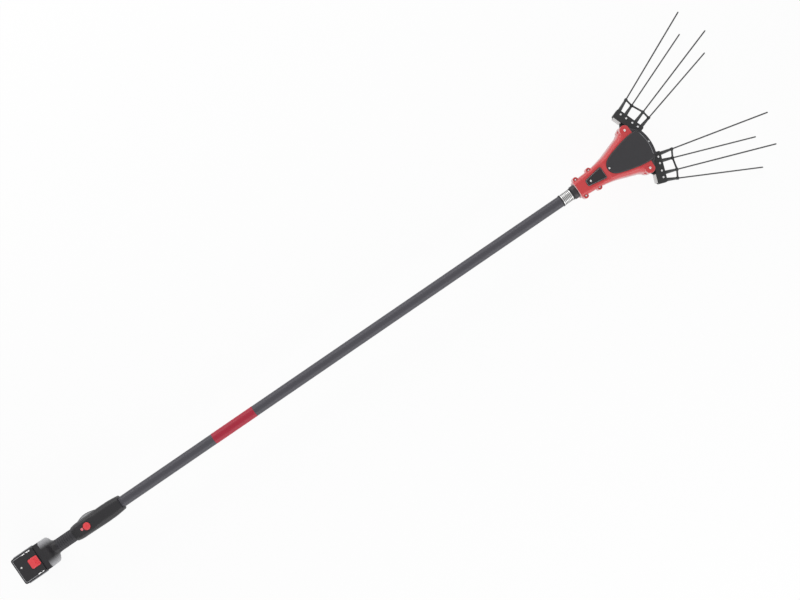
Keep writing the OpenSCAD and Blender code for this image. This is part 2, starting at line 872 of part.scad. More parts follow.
module ferrule() {
    inner_len = ferrule_len - 2 * ring_w;
    step = inner_len / (groove_n + 1);
    color("#d6d6d4") at_axis(ferrule_x + ring_w) difference() {
        tube_along_x(ferrule_d, pole_d, inner_len);
        for (i = [1 : groove_n])
            translate([i * step - groove_w / 2, 0, 0])
                tube_along_x(ferrule_d + overrun, ferrule_d - 2 * groove_depth, groove_w);
    }
}

module ferrule_rings() {
    color("#1f1f22") for (x = [ferrule_x, collar_x - ring_w])
        at_axis(x) tube_along_x(ring_d, pole_d, ring_w);
}

module pole_collar() {
    chamfer = collar_len / 5;
    color("#3d3c41") at_axis(collar_x) rotate([0, 90, 0]) rotate_extrude() polygon([
        [pole_d / 2, 0], [collar_d / 2 - chamfer, 0], [collar_d / 2, chamfer],
        [collar_d / 2, collar_len], [pole_d / 2, collar_len]
    ]);
}

// Head shells: stations by place, half width and half width of the flat deck. Places run from
// 0 to 1 along the neck, to 2 at the pivots and to 3 at the front

shell_shares = [
    [0, 0.31, 0.11], [0.115, 0.33, 0.14], [0.23, 0.345, 0.17], [0.5, 0.37, 0.25], [0.67, 0.415, 0.27],
    [0.71, 0.43, 0.275], [0.75, 0.44, 0.28], [0.865, 0.48, 0.3], [1.13, 0.58, 0.42], [1.57, 0.695, 0.5],
    [1.755, 0.81, 0.55], [1.865, 0.91, 0.575], [2, 0.965, 0.59], [2.21, 0.95, 0.6], [2.4, 0.88, 0.6],
    [2.49, 0.76, 0.595], [2.645, 0.65, 0.57], [2.755, 0.565, 0.52]
];
nose_angles_share = [0.95, 0.72, 0.48, 0.24, 0.06];
nose_angle = 19;
nose_x = head_len - nose_r;
upper_ramp_shares = [0.67, 0.75];
lower_ramp_shares = [0.5, 0.67];
shell_edge_share = 0.5;

function along(s) = lookup(s, [[0, 0], [1, neck_len], [2, pivot_along], [3, head_len]]);
function ramp(x, ends) = max(0, min(1, (x / neck_len - ends[0]) / (ends[1] - ends[0])));
function shell_station(x, w, flat, rise, ends) = let (t = neck_rise + (rise - neck_rise) * ramp(x, ends))
    [x, w, flat, t, shell_edge_share * t];
function shell_stations(rise, ends) = concat(
    [for (s = shell_shares)
        shell_station(along(s[0]), s[1] * head_w / 2, s[2] * head_w / 2, rise, ends)],
    [for (f = nose_angles_share) let (a = f * nose_angle, flat = (nose_r - shell_wall) * sin(a))
        shell_station(nose_x + nose_r * cos(a), nose_r * sin(a), flat, rise, ends)]
);
upper_stations = shell_stations(head_rise, upper_ramp_shares);
lower_stations = shell_stations(head_drop, lower_ramp_shares);

pivot_side = pivot_span / 2;
pivot_shaft_d = 10;
pivot_shaft_len = 54;
shoulder_base = hub_h / 2 + run_gap;
mouth_h = carrier_h / 2 + 1.2;
mouth_ahead = 13;
mouth_along = pivot_along + mouth_ahead;
mouth_side = 17;
bulkhead_t = 2.6;
bulkhead_shares = [[0.314, 0.542], [0.331, 0.424], [0.449, 0.136]];
pillar_d = 12;
pillar_along = head_len - pillar_d / 2 - run_gap / 2;
boss_places = [[10.6, 25.2], [52.6, 26.4]];
boss_h = 20;
lower_boss_h = 9;
boss_screw_depth = 24;
lower_shoulder_drop = 31;
lower_shoulder_d = 20;
saddle_places = [8, 38];
saddle_t = 5;
saddle_h = 13;
plate_low = -gear_t / 2 - 1;
plate_t = 4;
plate_margin = 12;
plate_back = motor_along - plate_margin;
plate_len = 58;
plate_w = 56;
plate_screw_inset = 5;
plate_screw_depth = 12;
plate_pillar_d = 9;
plate_hole_inset = 5;
board_len = 30;
board_w = 30;
board_t = 1.6;
board_along = lead_end + 1;
board_z = lead_rise + lead_d / 2;
board_rib_t = 2;
cover_gap = 1;
cover_back = along(upper_ramp_shares[1]) + cover_gap;
cover_screw_in = 4.2;
cover_tip_along = cover_back + cover_screw_in;
nose_screw_in = 2.7;
nose_screw_along = head_len - nose_screw_in;
neck_cover_back = 28;
neck_screw_in = 12.6;
neck_screw_along = neck_cover_back + neck_screw_in;
neck_cover_t = 2.5;
neck_cover_sink = 1.2;

module head_bosses(height) {
    for (p = boss_places, side = [-1, 1])
        translate([p[0], side * p[1], 0]) cylinder(d = boss_d, h = height);
}

module boss_screw_places() {
    for (p = boss_places, side = [-1, 1])
        translate([p[0], side * p[1], boss_h - screw_head_h]) children();
}

module pole_saddles() {
    for (x = saddle_places) let (w = 2 * half_at(upper_stations, x) - shell_wall)
        translate([x, -w / 2, 0]) cube([saddle_t, w, saddle_h]);
}

// What the hubs and carriers sweep through, above the middle plane
module rake_mouth() {
    for (side = [-1, 1]) {
        translate([pivot_along, side * pivot_side, -overrun])
            cylinder(d = hub_d + 2 * run_gap, h = shoulder_base + overrun);
        translate([mouth_along, side > 0 ? mouth_side : -mouth_side - head_w, -overrun])
            cube([head_len, head_w, mouth_h + overrun]);
    }
}

module shoulders(top, top_d) {
    both_sides() translate([pivot_along, pivot_side, shoulder_base])
        cylinder(d1 = shoulder_d, d2 = top_d, h = top - shoulder_base);
}

module shaft_seats() {
    both_sides() translate([pivot_along, pivot_side, 0])
        cylinder(d = pivot_shaft_d + 2 * fit_gap, h = pivot_shaft_len / 2 + fit_gap);
}

// The wall between the gears and the rake mouth, bowed forward round the sectors
module bulkhead(top) {
    back = mirrored([for (p = bulkhead_shares) [pivot_along, 0] + p * pivot_side]);
    front = [for (i = [len(back) - 1 : -1 : 0]) back[i] + [bulkhead_t, 0]];
    linear_extrude(top - shell_wall / 2) polygon(concat(back, front));
}

module board_ribs() {
    for (side = [-1, 1]) translate([board_along, side * board_w / 2, board_z + board_t])
        translate([0, -board_rib_t / 2, 0])
            cube([board_len, board_rib_t, neck_rise - shell_wall / 2 - board_z - board_t]);
}

module upper_shell() {
    color("#d2454a") at_head() difference() {
        union() {
            difference() {
                union() {
                    shell(upper_stations, shell_wall);
                    head_bosses(boss_h);
                    pole_saddles();
                }
                rake_mouth();
                boss_screw_places() cylinder(d = screw_head_d + 2 * fit_gap, h = screw_head_h + overrun);
            }
            shoulders(shoulder_rise, shoulder_d);
            bulkhead(head_rise);
            board_ribs();
            translate([pillar_along, 0, 0]) cylinder(d = pillar_d, h = head_rise - shell_wall / 2);
        }
        translate([-overrun, 0, 0]) rod_along_x(pole_d + 2 * fit_gap, pole_insert + overrun);
        boss_screw_places() screw_hole(boss_screw_depth);
        shaft_seats();
        both_sides() translate([pivot_along, pivot_side, shoulder_rise]) screw_hole(head_rise);
        translate([cover_tip_along, 0, head_rise]) screw_hole(shell_wall + overrun);
        translate([nose_screw_along, 0, head_rise]) screw_hole(plate_screw_depth);
        translate([neck_screw_along, 0, neck_rise]) screw_hole(shell_wall + overrun);
        translate([0, 0, neck_rise - neck_cover_sink]) linear_extrude(head_rise)
            neck_cover_outline(fit_gap);
    }
}

module plate_screw_places() {
    for (x = [plate_screw_inset, plate_len - plate_screw_inset], y = [-1, 1])
        translate([plate_back + x, y * (plate_w / 2 - plate_screw_inset), plate_low - screw_head_h])
            children();
}

module lower_shell() {
    color("#c43c42") at_head() difference() {
        union() {
            difference() {
                mirror([0, 0, 1]) union() {
                    shell(lower_stations, shell_wall);
                    head_bosses(lower_boss_h);
                    pole_saddles();
                }
                mirror([0, 0, 1]) rake_mouth();
            }
            mirror([0, 0, 1]) {
                shoulders(lower_shoulder_drop, lower_shoulder_d);
                bulkhead(head_drop);
                translate([pillar_along, 0, 0]) cylinder(d = pillar_d, h = head_drop - shell_wall / 2);
            }
            plate_screw_places() translate([0, 0, shell_wall / 2 - head_drop - plate_low + screw_head_h])
                cylinder(d = plate_pillar_d, h = head_drop - shell_wall / 2 + plate_low - plate_t);
        }
        translate([-overrun, 0, 0]) rod_along_x(pole_d + 2 * fit_gap, pole_insert + overrun);
        boss_screw_places() screw_hole(boss_screw_depth);
        mirror([0, 0, 1]) shaft_seats();
        plate_screw_places() screw_hole(plate_t + plate_screw_depth);
    }
}

// Covers: the centre cover's stations are shares of its length and half width

cover_half_w = 41.5;
cover_lip = 6.2;
cover_nose_r = nose_r - cover_lip;
cover_shares = [
    [0, 0.1], [0.015, 0.21], [0.045, 0.36], [0.09, 0.48], [0.15, 0.575], [0.24, 0.66], [0.4, 0.78],
    [0.56, 0.9], [0.7, 0.97], [0.83, 1], [0.89, 0.98], [0.93, 0.92]
];
cover_nose_share = [0.95, 0.7, 0.46, 0.24, 0.06];
cover_nose_angle = 19;
cover_round = 3.5;
cover_front = nose_x + cover_nose_r;
cover_stations = [
    for (s = concat(
        [for (c = cover_shares) [cover_back + c[0] * (cover_front - cover_back), c[1] * cover_half_w]],
        [for (f = cover_nose_share) let (a = f * cover_nose_angle)
            [nose_x + cover_nose_r * cos(a), cover_nose_r * sin(a)]]
    )) [s[0], s[1], max(s[1] - cover_round, s[1] * inner_least_share), cover_t, cover_t / 3]
];

module centre_cover() {
    color("#4a4a4e") at_head(0, 0, head_rise) difference() {
        loft(cover_stations);
        translate([cover_tip_along, 0, cover_t - screw_head_h + overrun / 4]) {
            cylinder(d = screw_head_d + 2 * fit_gap, h = screw_head_h + overrun);
            screw_hole(cover_t + overrun);
        }
    }
}

trim_gap = 0.3;
trim_angle = 19;
trim_out = 2.3;
trim_t = 3;
trim_screw_d = 5;

module trim_sector(r0, r1) {
    difference() {
        intersection() {
            circle(r1);
            polygon(mirrored([[0, 0], 2 * r1 * [cos(trim_angle), sin(trim_angle)]]));
        }
        circle(r0);
    }
}

module nose_trim() {
    lip_base = mouth_h + 2 * run_gap;
    color("#414145") at_head(nose_x) difference() {
        union() {
            translate([0, 0, head_rise]) linear_extrude(trim_t)
                trim_sector(cover_nose_r + trim_gap, nose_r + trim_out);
            translate([0, 0, lip_base]) linear_extrude(head_rise - lip_base + trim_t / 2)
                trim_sector(nose_r + fit_gap, nose_r + trim_out);
        }
        translate([nose_screw_along - nose_x, 0, head_rise + trim_t - screw_head_h / 2]) {
            cylinder(d = trim_screw_d + 2 * fit_gap, h = screw_head_h);
            screw_hole(trim_t + overrun);
        }
    }
}

neck_cover_front = along(upper_ramp_shares[0]) - run_gap;
neck_cover_small = 18.5;
neck_cover_wide = 34;
neck_cover_corner = 4;

module neck_cover_outline(grow = 0) {
    hull() for (side = [-1, 1]) {
        translate([neck_cover_back + neck_cover_corner, side * (neck_cover_small / 2 - neck_cover_corner)])
            circle(neck_cover_corner + grow, $fn = 32);
        translate([neck_cover_front - neck_cover_corner, side * (neck_cover_wide / 2 - neck_cover_corner)])
            circle(neck_cover_corner + grow, $fn = 32);
    }
}

module neck_cover() {
    color("#2b2a2d") at_head(0, 0, neck_rise - neck_cover_sink) difference() {
        linear_extrude(neck_cover_t) neck_cover_outline();
        translate([neck_screw_along, 0, neck_cover_t - screw_head_h / 2]) {
            cylinder(d = screw_head_d + 2 * fit_gap, h = screw_head_h);
            screw_hole(neck_cover_t + overrun);
        }
    }
}

// The neck's and the gear plate's screws are the same
module head_screws() {
    color("#b9bbbd") at_head() {
        boss_screw_places() screw(boss_screw_depth - overrun);
        plate_screw_places() screw(plate_t + plate_screw_depth - overrun);
    }
}

module cover_screws() {
    color("#d9dadb") {
        at_head(cover_tip_along, 0, head_rise + cover_t - screw_head_h + overrun / 4) screw(cover_t);
        at_head(nose_screw_along, 0, head_rise + trim_t - screw_head_h / 2)
            screw(plate_screw_depth, trim_screw_d);
        at_head(neck_screw_along, 0, neck_rise - neck_cover_sink + neck_cover_t - screw_head_h / 2)
            screw(neck_cover_t);
    }
}

pivot_screw_head_d = 9;
pivot_screw_depth = 12;

module pivot_screws() {
    color("#b0393f") for (side = [-1, 1]) at_head(pivot_along, side * pivot_side, shoulder_rise)
        screw(pivot_screw_depth, pivot_screw_head_d);
}

module pivot_shafts() {
    color("#a9abad") for (side = [-1, 1]) at_head(pivot_along, side * pivot_side) difference() {
        cylinder(d = pivot_shaft_d, h = pivot_shaft_len, center = true);
        translate([0, 0, shoulder_rise]) screw_hole(pivot_screw_depth + overrun);
    }
}

// Drive

crank_shaft_d = 8;
bearing_d = 16;
bearing_t = 5;
bearing_tube_d = 20.6;
bearing_tube_h = 13;
motor_shaft_d = 5;
rotor_wall = 2.4;
rotor_gap = 0.8;
stator_base_t = 3;
stator_slots = 9;
stator_slot_w = 4;
plate_under = plate_low - plate_t;
bearing_low = plate_under - bearing_tube_h;

module gear_plate() {
    color("#b4b6b8") at_head() difference() {
        union() {
            translate([plate_back + plate_len / 2, 0, plate_under]) linear_extrude(plate_t)
                rounded_rect(plate_len, plate_w, plate_hole_inset);
            translate([crank_along, 0, bearing_low])
                cylinder(d = bearing_tube_d, h = bearing_tube_h + plate_t);
        }
        translate([crank_along, 0, bearing_low - overrun])
            cylinder(d = bearing_d + 2 * fit_gap, h = bearing_tube_h + plate_t + 2 * overrun);
        translate([motor_along, 0, plate_under - overrun])
            cylinder(d = motor_shaft_d + 2 * run_gap, h = plate_t + 2 * overrun);
        plate_screw_places() {
            screw_hole(plate_t + plate_screw_depth);
            cylinder(d = screw_head_d + 2 * fit_gap, h = screw_head_h + overrun);
        }
    }
}

module motor_stator() {
    core_d = rotor_d - 2 * rotor_wall - 2 * rotor_gap;
    core_h = rotor_h - rotor_wall - 2 * rotor_gap;
    color("#7a4a2a") at_head(motor_along, 0, plate_under - stator_base_t) difference() {
        union() {
            cylinder(d = rotor_d, h = stator_base_t);
            translate([0, 0, -core_h]) cylinder(d = core_d, h = core_h);
        }
        for (i = [0 : stator_slots - 1]) rotate([0, 0, 360 * i / stator_slots])
            translate([core_d / 3, -stator_slot_w / 2, -core_h - overrun])
                cube([core_d, stator_slot_w, core_h + overrun]);
        translate([0, 0, -core_h - overrun])
            cylinder(d = motor_shaft_d + 2 * fit_gap, h = core_h + stator_base_t + 2 * overrun);
    }
}

module motor_rotor() {
    top = plate_under - stator_base_t - rotor_gap;
    color("#2a2a2c") at_head(motor_along, 0, top - rotor_h) {
        difference() {
            cylinder(d = rotor_d, h = rotor_h);
            translate([0, 0, rotor_wall]) cylinder(d = rotor_d - 2 * rotor_wall, h = rotor_h);
        }
        cylinder(d = motor_shaft_d, h = rotor_h - top + gear_t / 2);
    }
}

module drive_pinion() {
    color("#8f9194") at_head(motor_along)
        gear(pinion_teeth, gear_module, motor_shaft_d, 180 / pinion_teeth);
}

module crank_gear() {
    color("#8f9194") at_head(crank_along) gear(crank_teeth, gear_module, crank_shaft_d);
}

module crank_shaft() {
    color("#a9abad") at_head(crank_along, 0, bearing_low)
        cylinder(d = crank_shaft_d, h = gear_t / 2 - bearing_low);
}

module crank_bearings() {
    color("#9a9c9e") for (z = [bearing_low, plate_low - bearing_t])
        at_head(crank_along, 0, z) difference() {
            cylinder(d = bearing_d, h = bearing_t);
            translate([0, 0, -overrun])
                cylinder(d = crank_shaft_d + 2 * fit_gap, h = bearing_t + 2 * overrun);
        }
}

lever_pin_place = [pivot_along, pivot_side - lever_r];
crank_line = lever_pin_place - [crank_along, 0];
crank_turn = atan2(crank_line[1], crank_line[0]) + 90;
crank_pin_place = [crank_along + crank_r * cos(crank_turn), crank_r * sin(crank_turn)];
rod_z = gear_t / 2 + run_gap;
rod_pin_d = 6;
rod_eye_d = 12;
rod_bar_w = 8;
rod_v = lever_pin_place - crank_pin_place;
rod_len = norm(rod_v);
pin_cap_d = 8;
pin_cap_t = 1.6;

module drive_rod() {
    color("#c2c4c6") at_head(crank_pin_place[0], crank_pin_place[1], rod_z)
        rotate([0, 0, atan2(rod_v[1], rod_v[0])]) linear_extrude(rod_t) difference() {
            union() {
                circle(d = rod_eye_d);
                translate([rod_len, 0]) circle(d = rod_eye_d);
                translate([0, -rod_bar_w / 2]) square([rod_len, rod_bar_w]);
            }
            circle(d = rod_pin_d);
            translate([rod_len, 0]) circle(d = rod_pin_d + 2 * fit_gap);
        }
}

module crank_pin() {
    color("#a9abad") at_head(crank_pin_place[0], crank_pin_place[1], rod_z) {
        cylinder(d = rod_pin_d, h = rod_t);
        translate([0, 0, rod_t]) cylinder(d = pin_cap_d, h = pin_cap_t);
    }
}

module lever_pin() {
    color("#a9abad") at_head(lever_pin_place[0], lever_pin_place[1], -gear_t / 2) {
        cylinder(d = rod_pin_d, h = gear_t + run_gap + rod_t + run_gap);
        translate([0, 0, gear_t + run_gap + rod_t + run_gap])
            cylinder(d = pin_cap_d, h = pin_cap_t);
    }
}

module control_board() {
    parts_h = 7;
    plug_len = 6;
    cap_d = 8;
    color("#2f6b3f") at_head(board_along, 0, board_z) {
        translate([0, -board_w / 2, 0]) cube([board_len, board_w, board_t]);
        translate([0, -board_w / 4, board_t]) cube([plug_len, board_w / 2, parts_h - board_t]);
        for (side = [-1, 1]) translate([board_len / 2, side * cap_d, board_t])
            cylinder(d = cap_d, h = parts_h);
        translate([board_len - 2 * plug_len, -board_w / 4, board_t])
            cube([plug_len, board_w / 2, parts_h / 2]);
    }
}

// Rakes

module at_pivot(side) {
    at_head(pivot_along, side * pivot_side) children();
}

module at_rake(side) {
    at_pivot(side) rotate([0, 0, side * rake_splay]) translate([root_reach, side * root_side, 0])
        children();
}

sector_module = pivot_span / sector_teeth;
sector_count = 5;
sector_step = 360 / sector_teeth;
sector_neck = 18;
bush_d = 14;
bush_h = 9;
root_edge = 1;
carrier_back = -carrier_depth - root_edge;
tongue_inset = 4;
tongue_root = 14.5;
tongue_end = -13;
strip_w = 4.5;
strip_from = 14;

// Toothed sector that reaches from a pivot to the middle of the head
module sector(side) {
    count = side > 0 ? sector_count : sector_count - 1;
    middles = [for (i = [0 : count - 1]) -90 * side + (i - (count - 1) / 2) * sector_step];
    neck = side * sector_neck / 2;
    polygon(concat([[neck, 0], [-neck, 0]], teeth(sector_teeth, sector_module, middles)));
}

// Flat plate that holds a carrier, with a strip that shows behind the carrier's outer half
module tongue(side) {
    far = carrier_w / 2 - tongue_inset;
    rotate(side * rake_splay) translate([root_reach, side * root_side]) scale([1, side]) polygon([
        [-root_reach, -tongue_root - root_side], [carrier_back + tongue_inset, -far],
        [tongue_end, -far], [tongue_end, far],
        [carrier_back - strip_w, far], [carrier_back - strip_w, strip_from],
        [-root_reach, tongue_root - root_side]
    ]);
}

module arm(side) {
    color("#3c3d3f") difference() {
        at_pivot(side) {
            cylinder(d = hub_d, h = hub_h, center = true);
            linear_extrude(gear_t, center = true) union() {
                sector(side);
                tongue(side);
            }
        }
        at_pivot(side) cylinder(d = bush_d, h = hub_h + 2 * overrun, center = true);
        if (side > 0) at_head(lever_pin_place[0], lever_pin_place[1])
            cylinder(d = rod_pin_d, h = hub_h, center = true);
    }
}

module left_arm() {
    arm(1);
}

module right_arm() {
    arm(-1);
}

module bushes(side) {
    color("#b08d4a") for (z = [-hub_h / 2, hub_h / 2 - bush_h])
        at_pivot(side) translate([0, 0, z]) difference() {
            cylinder(d = bush_d, h = bush_h);
            translate([0, 0, -overrun])
                cylinder(d = pivot_shaft_d + 2 * fit_gap, h = bush_h + 2 * overrun);
        }
}

module rake_bushes_left() {
    bushes(1);
}

module rake_bushes_right() {
    bushes(-1);
}

carrier_r = 4;
carrier_screw_shares = [-0.655, -0.238, 0.238, 0.655];
carrier_screw_out = 10;
carrier_screw_depth = 16;
root_sink = 9;
tine_roots = [tine_outer_span / 2, tine_inner_span / 2, -tine_inner_span / 2, -tine_outer_span / 2];
tine_fans = [tine_fan, tine_inner_fan, -tine_inner_fan, -tine_fan];
tine_tilts = [tine_tilt, -tine_tilt, tine_tilt, -tine_tilt];
brace_out = 31.6;
brace_collar_d = 9;
brace_collar_len = 6;
function along_tine(i, out) = [0, tine_roots[i], 0] + out * [
    cos(tine_tilts[i]) * cos(tine_fans[i]),
    cos(tine_tilts[i]) * sin(tine_fans[i]),
    sin(tine_tilts[i])
];

module carrier_screw_places(side) {
    for (s = carrier_screw_shares) at_rake(side)
        translate([-carrier_screw_out, s * carrier_w / 2, carrier_h / 2]) children();
}

// Each tine's own line, with X along it from its root
module each_tine(side) {
    for (i = [0 : len(tine_roots) - 1]) at_rake(side) translate([0, tine_roots[i], 0])
        rotate([0, -tine_tilts[i], tine_fans[i]]) children();
}

module carrier(side) {
    color("#3e4142") difference() {
        at_rake(side) translate([carrier_back + carrier_depth / 2, 0, -carrier_h / 2])
            linear_extrude(carrier_h) rounded_rect(carrier_depth, carrier_w, carrier_r);
        at_pivot(side) cylinder(d = hub_d, h = hub_h, center = true);
        at_rake(side) scale([1, side, 1])
            translate([carrier_back - overrun, tongue_inset - carrier_w / 2, -gear_t / 2])
                cube([tongue_end - carrier_back + overrun, carrier_w - 2 * tongue_inset, gear_t]);
        each_tine(side) translate([-root_sink, 0, 0]) rod_along_x(root_sleeve_d, 2 * root_sink);
        carrier_screw_places(side) screw_hole(carrier_screw_depth);
    }
}

module left_carrier() {
    carrier(1);
}

module right_carrier() {
    carrier(-1);
}

module carrier_screws(side) {
    color("#d9dadb") carrier_screw_places(side) screw(carrier_screw_depth - overrun);
}

module left_carrier_screws() {
    carrier_screws(1);
}

module right_carrier_screws() {
    carrier_screws(-1);
}

module sleeves(side) {
    color("#2f3031") each_tine(side) translate([-root_sink, 0, 0])
        tube_along_x(root_sleeve_d, tine_d, root_sleeve_len + root_sink);
}

module left_sleeves() {
    sleeves(1);
}

module right_sleeves() {
    sleeves(-1);
}

module brace(side) {
    color("#2f3031") difference() {
        union() {
            each_tine(side) translate([brace_out - brace_collar_len / 2, 0, 0])
                rod_along_x(brace_collar_d, brace_collar_len);
            for (i = [0 : len(tine_roots) - 2]) at_rake(side)
                bar(along_tine(i, brace_out), along_tine(i + 1, brace_out), brace_d);
        }
        each_tine(side) translate([brace_out - brace_collar_len, 0, 0])
            rod_along_x(root_sleeve_d, 2 * brace_collar_len);
    }
}

module left_brace() {
    brace(1);
}

module right_brace() {
    brace(-1);
}

module tines(side) {
    r = tine_d / 2;
    color("#3b3b3b") each_tine(side) {
        translate([-root_sink, 0, 0]) rod_along_x(tine_d, tine_len - r + root_sink);
        translate([tine_len - r, 0, 0]) sphere(r);
    }
}

module left_tines() {
    tines(1);
}

module right_tines() {
    tines(-1);
}

foot_housing();
rail_plate();
terminal_block();
handle_screws();
pole();
handle_sleeve();
label_band();
power_lead();
battery_tub();
battery_top();
battery_cells();
battery_screws();
release_button();
release_spring();
charge_lamp();
grip_upper();
grip_lower();
push_button();
button_spring();
switch_module();
status_lamp();
side_lever();
lever_hinge_pin();
ferrule();
ferrule_rings();
pole_collar();
upper_shell();
lower_shell();
centre_cover();
nose_trim();
neck_cover();
head_screws();
cover_screws();
pivot_screws();
pivot_shafts();
gear_plate();
motor_stator();
motor_rotor();
drive_pinion();
crank_gear();
crank_shaft();
crank_bearings();
drive_rod();
crank_pin();
lever_pin();
control_board();
left_arm();
right_arm();
rake_bushes_left();
rake_bushes_right();
left_carrier();
right_carrier();
left_carrier_screws();
right_carrier_screws();
left_sleeves();
right_sleeves();
left_brace();
right_brace();
left_tines();
right_tines();
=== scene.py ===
import json
import math

import bmesh
import bpy
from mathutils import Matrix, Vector

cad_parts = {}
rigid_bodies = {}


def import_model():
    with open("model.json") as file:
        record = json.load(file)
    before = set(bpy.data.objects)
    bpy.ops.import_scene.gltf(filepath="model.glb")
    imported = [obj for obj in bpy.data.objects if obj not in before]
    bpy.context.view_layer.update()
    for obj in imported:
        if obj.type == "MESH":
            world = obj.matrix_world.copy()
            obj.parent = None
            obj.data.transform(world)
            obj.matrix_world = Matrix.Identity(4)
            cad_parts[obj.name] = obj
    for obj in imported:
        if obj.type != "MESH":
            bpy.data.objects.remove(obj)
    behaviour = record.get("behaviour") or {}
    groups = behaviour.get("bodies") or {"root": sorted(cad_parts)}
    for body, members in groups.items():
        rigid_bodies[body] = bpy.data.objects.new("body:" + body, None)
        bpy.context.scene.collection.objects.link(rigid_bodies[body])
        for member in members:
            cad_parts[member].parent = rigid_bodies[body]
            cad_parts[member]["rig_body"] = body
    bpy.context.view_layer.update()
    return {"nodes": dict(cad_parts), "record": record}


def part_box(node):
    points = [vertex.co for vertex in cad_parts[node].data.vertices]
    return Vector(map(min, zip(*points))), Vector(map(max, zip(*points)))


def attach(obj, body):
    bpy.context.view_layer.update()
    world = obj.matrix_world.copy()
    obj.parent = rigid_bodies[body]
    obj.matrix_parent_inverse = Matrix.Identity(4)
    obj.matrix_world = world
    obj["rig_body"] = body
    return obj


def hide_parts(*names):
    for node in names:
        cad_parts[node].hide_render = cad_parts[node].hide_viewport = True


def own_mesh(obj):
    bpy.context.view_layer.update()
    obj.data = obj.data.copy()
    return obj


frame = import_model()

# Studio: the harvester lies face up on a white floor and is seen from straight above,
# turned in the picture. A white room and a long soft panel on each side light it evenly.
pole_r = 0.015
axis_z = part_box("pole")[0].z + pole_r
camera_data = bpy.data.cameras.new("camera")
camera_data.sensor_fit = "HORIZONTAL"
camera_data.sensor_width = 36
camera_data.lens = 51.33
camera = bpy.data.objects.new("camera", camera_data)
camera.location = (1.134, 0.0249, axis_z + 3.0)
camera.rotation_euler = (0, 0, math.radians(-34.4))
bpy.context.scene.collection.objects.link(camera)
bpy.context.scene.camera = camera
bpy.context.scene.view_settings.view_transform = "Standard"


def add(tree, kind, settings=(), values=(), links=()):
    """Adds one node with its settings, its sockets' values and its sockets' sources."""
    made = tree.nodes.new(kind)
    for name, value in dict(settings).items():
        setattr(made, name, value)
    for socket, value in dict(values).items():
        made.inputs[socket].default_value = value
    for socket, source in dict(links).items():
        tree.links.new(source, made.inputs[socket])
    return made


def seen_directly(tree):
    """1 for rays from the camera, from a mirror or through glass, and 0 for light on the object."""
    path = add(tree, "ShaderNodeLightPath")
    either = add(tree, "ShaderNodeMath", {"operation": "MAXIMUM"},
                 links={0: path.outputs["Is Camera Ray"], 1: path.outputs["Is Glossy Ray"]})
    return add(tree, "ShaderNodeMath", {"operation": "MAXIMUM"},
               links={0: either.outputs[0], 1: path.outputs["Is Transmission Ray"]}).outputs[0]


world = bpy.data.worlds.new("white room")
bpy.context.scene.world = world
world.use_nodes = True
world.node_tree.nodes.clear()
room_level = add(world.node_tree, "ShaderNodeMapRange", values={"To Min": 0.48, "To Max": 1.0},
                 links={"Value": seen_directly(world.node_tree)})
room = add(world.node_tree, "ShaderNodeBackground", values={"Color": (1, 1, 1, 1)},
           links={"Strength": room_level.outputs[0]})
add(world.node_tree, "ShaderNodeOutputWorld", links={"Surface": room.outputs[0]})

panel_long, panel_tall, panel_away, panel_low, panel_level = 4.5, 1.45, 1.9, 0.15, 1.85
for side in (-1, 1):
    panel_data = bpy.data.lights.new("soft side panel", "AREA")
    panel_data.shape = "RECTANGLE"
    panel_data.size, panel_data.size_y = panel_long, panel_tall
    panel_data.energy = panel_level * math.pi * panel_long * panel_tall
    panel = bpy.data.objects.new("soft side panel", panel_data)
    panel.location = (1.0, side * panel_away, panel_low + panel_tall / 2)
    panel.rotation_euler = (math.radians(-90 * side), 0, 0)
    panel.visible_camera = False
    bpy.context.scene.collection.objects.link(panel)

floor_half = 8
floor_mesh = bpy.data.meshes.new("floor")
floor_mesh.from_pydata(
    [(x, y, -0.0005) for x, y in ((-floor_half, -floor_half), (floor_half, -floor_half),
                                  (floor_half, floor_half), (-floor_half, floor_half))], [], [(0, 1, 2, 3)])
floor = bpy.data.objects.new("floor", floor_mesh)
bpy.context.scene.collection.objects.link(floor)
floor_paint = bpy.data.materials.new("white floor")
floor_paint.use_nodes = True
tree = floor_paint.node_tree
tree.nodes.clear()
floor_share = add(tree, "ShaderNodeMath", {"operation": "MULTIPLY"}, {1: 0.93}, {0: seen_directly(tree)})
floor_matt = add(tree, "ShaderNodeBsdfDiffuse", values={"Color": (0.9, 0.9, 0.9, 1)})
floor_white = add(tree, "ShaderNodeEmission", values={"Strength": 1.0})
floor_mix = add(tree, "ShaderNodeMixShader",
                links={0: floor_share.outputs[0], 1: floor_matt.outputs[0], 2: floor_white.outputs[0]})
add(tree, "ShaderNodeOutputMaterial", links={"Surface": floor_mix.outputs[0]})
floor_mesh.materials.append(floor_paint)

# Battery foot: a satin nylon moulding with two domed ears on a column that stands on the floor.
# It is moulded in one piece, and the pole is pressed into the round socket at its front.


def linear(code):
    """An sRGB hex colour as linear RGBA."""
    parts = [int(code[i:i + 2], 16) / 255 for i in (1, 3, 5)]
    return tuple(c / 12.92 if c <= 0.04045 else ((c + 0.055) / 1.055) ** 2.4 for c in parts) + (1.0,)


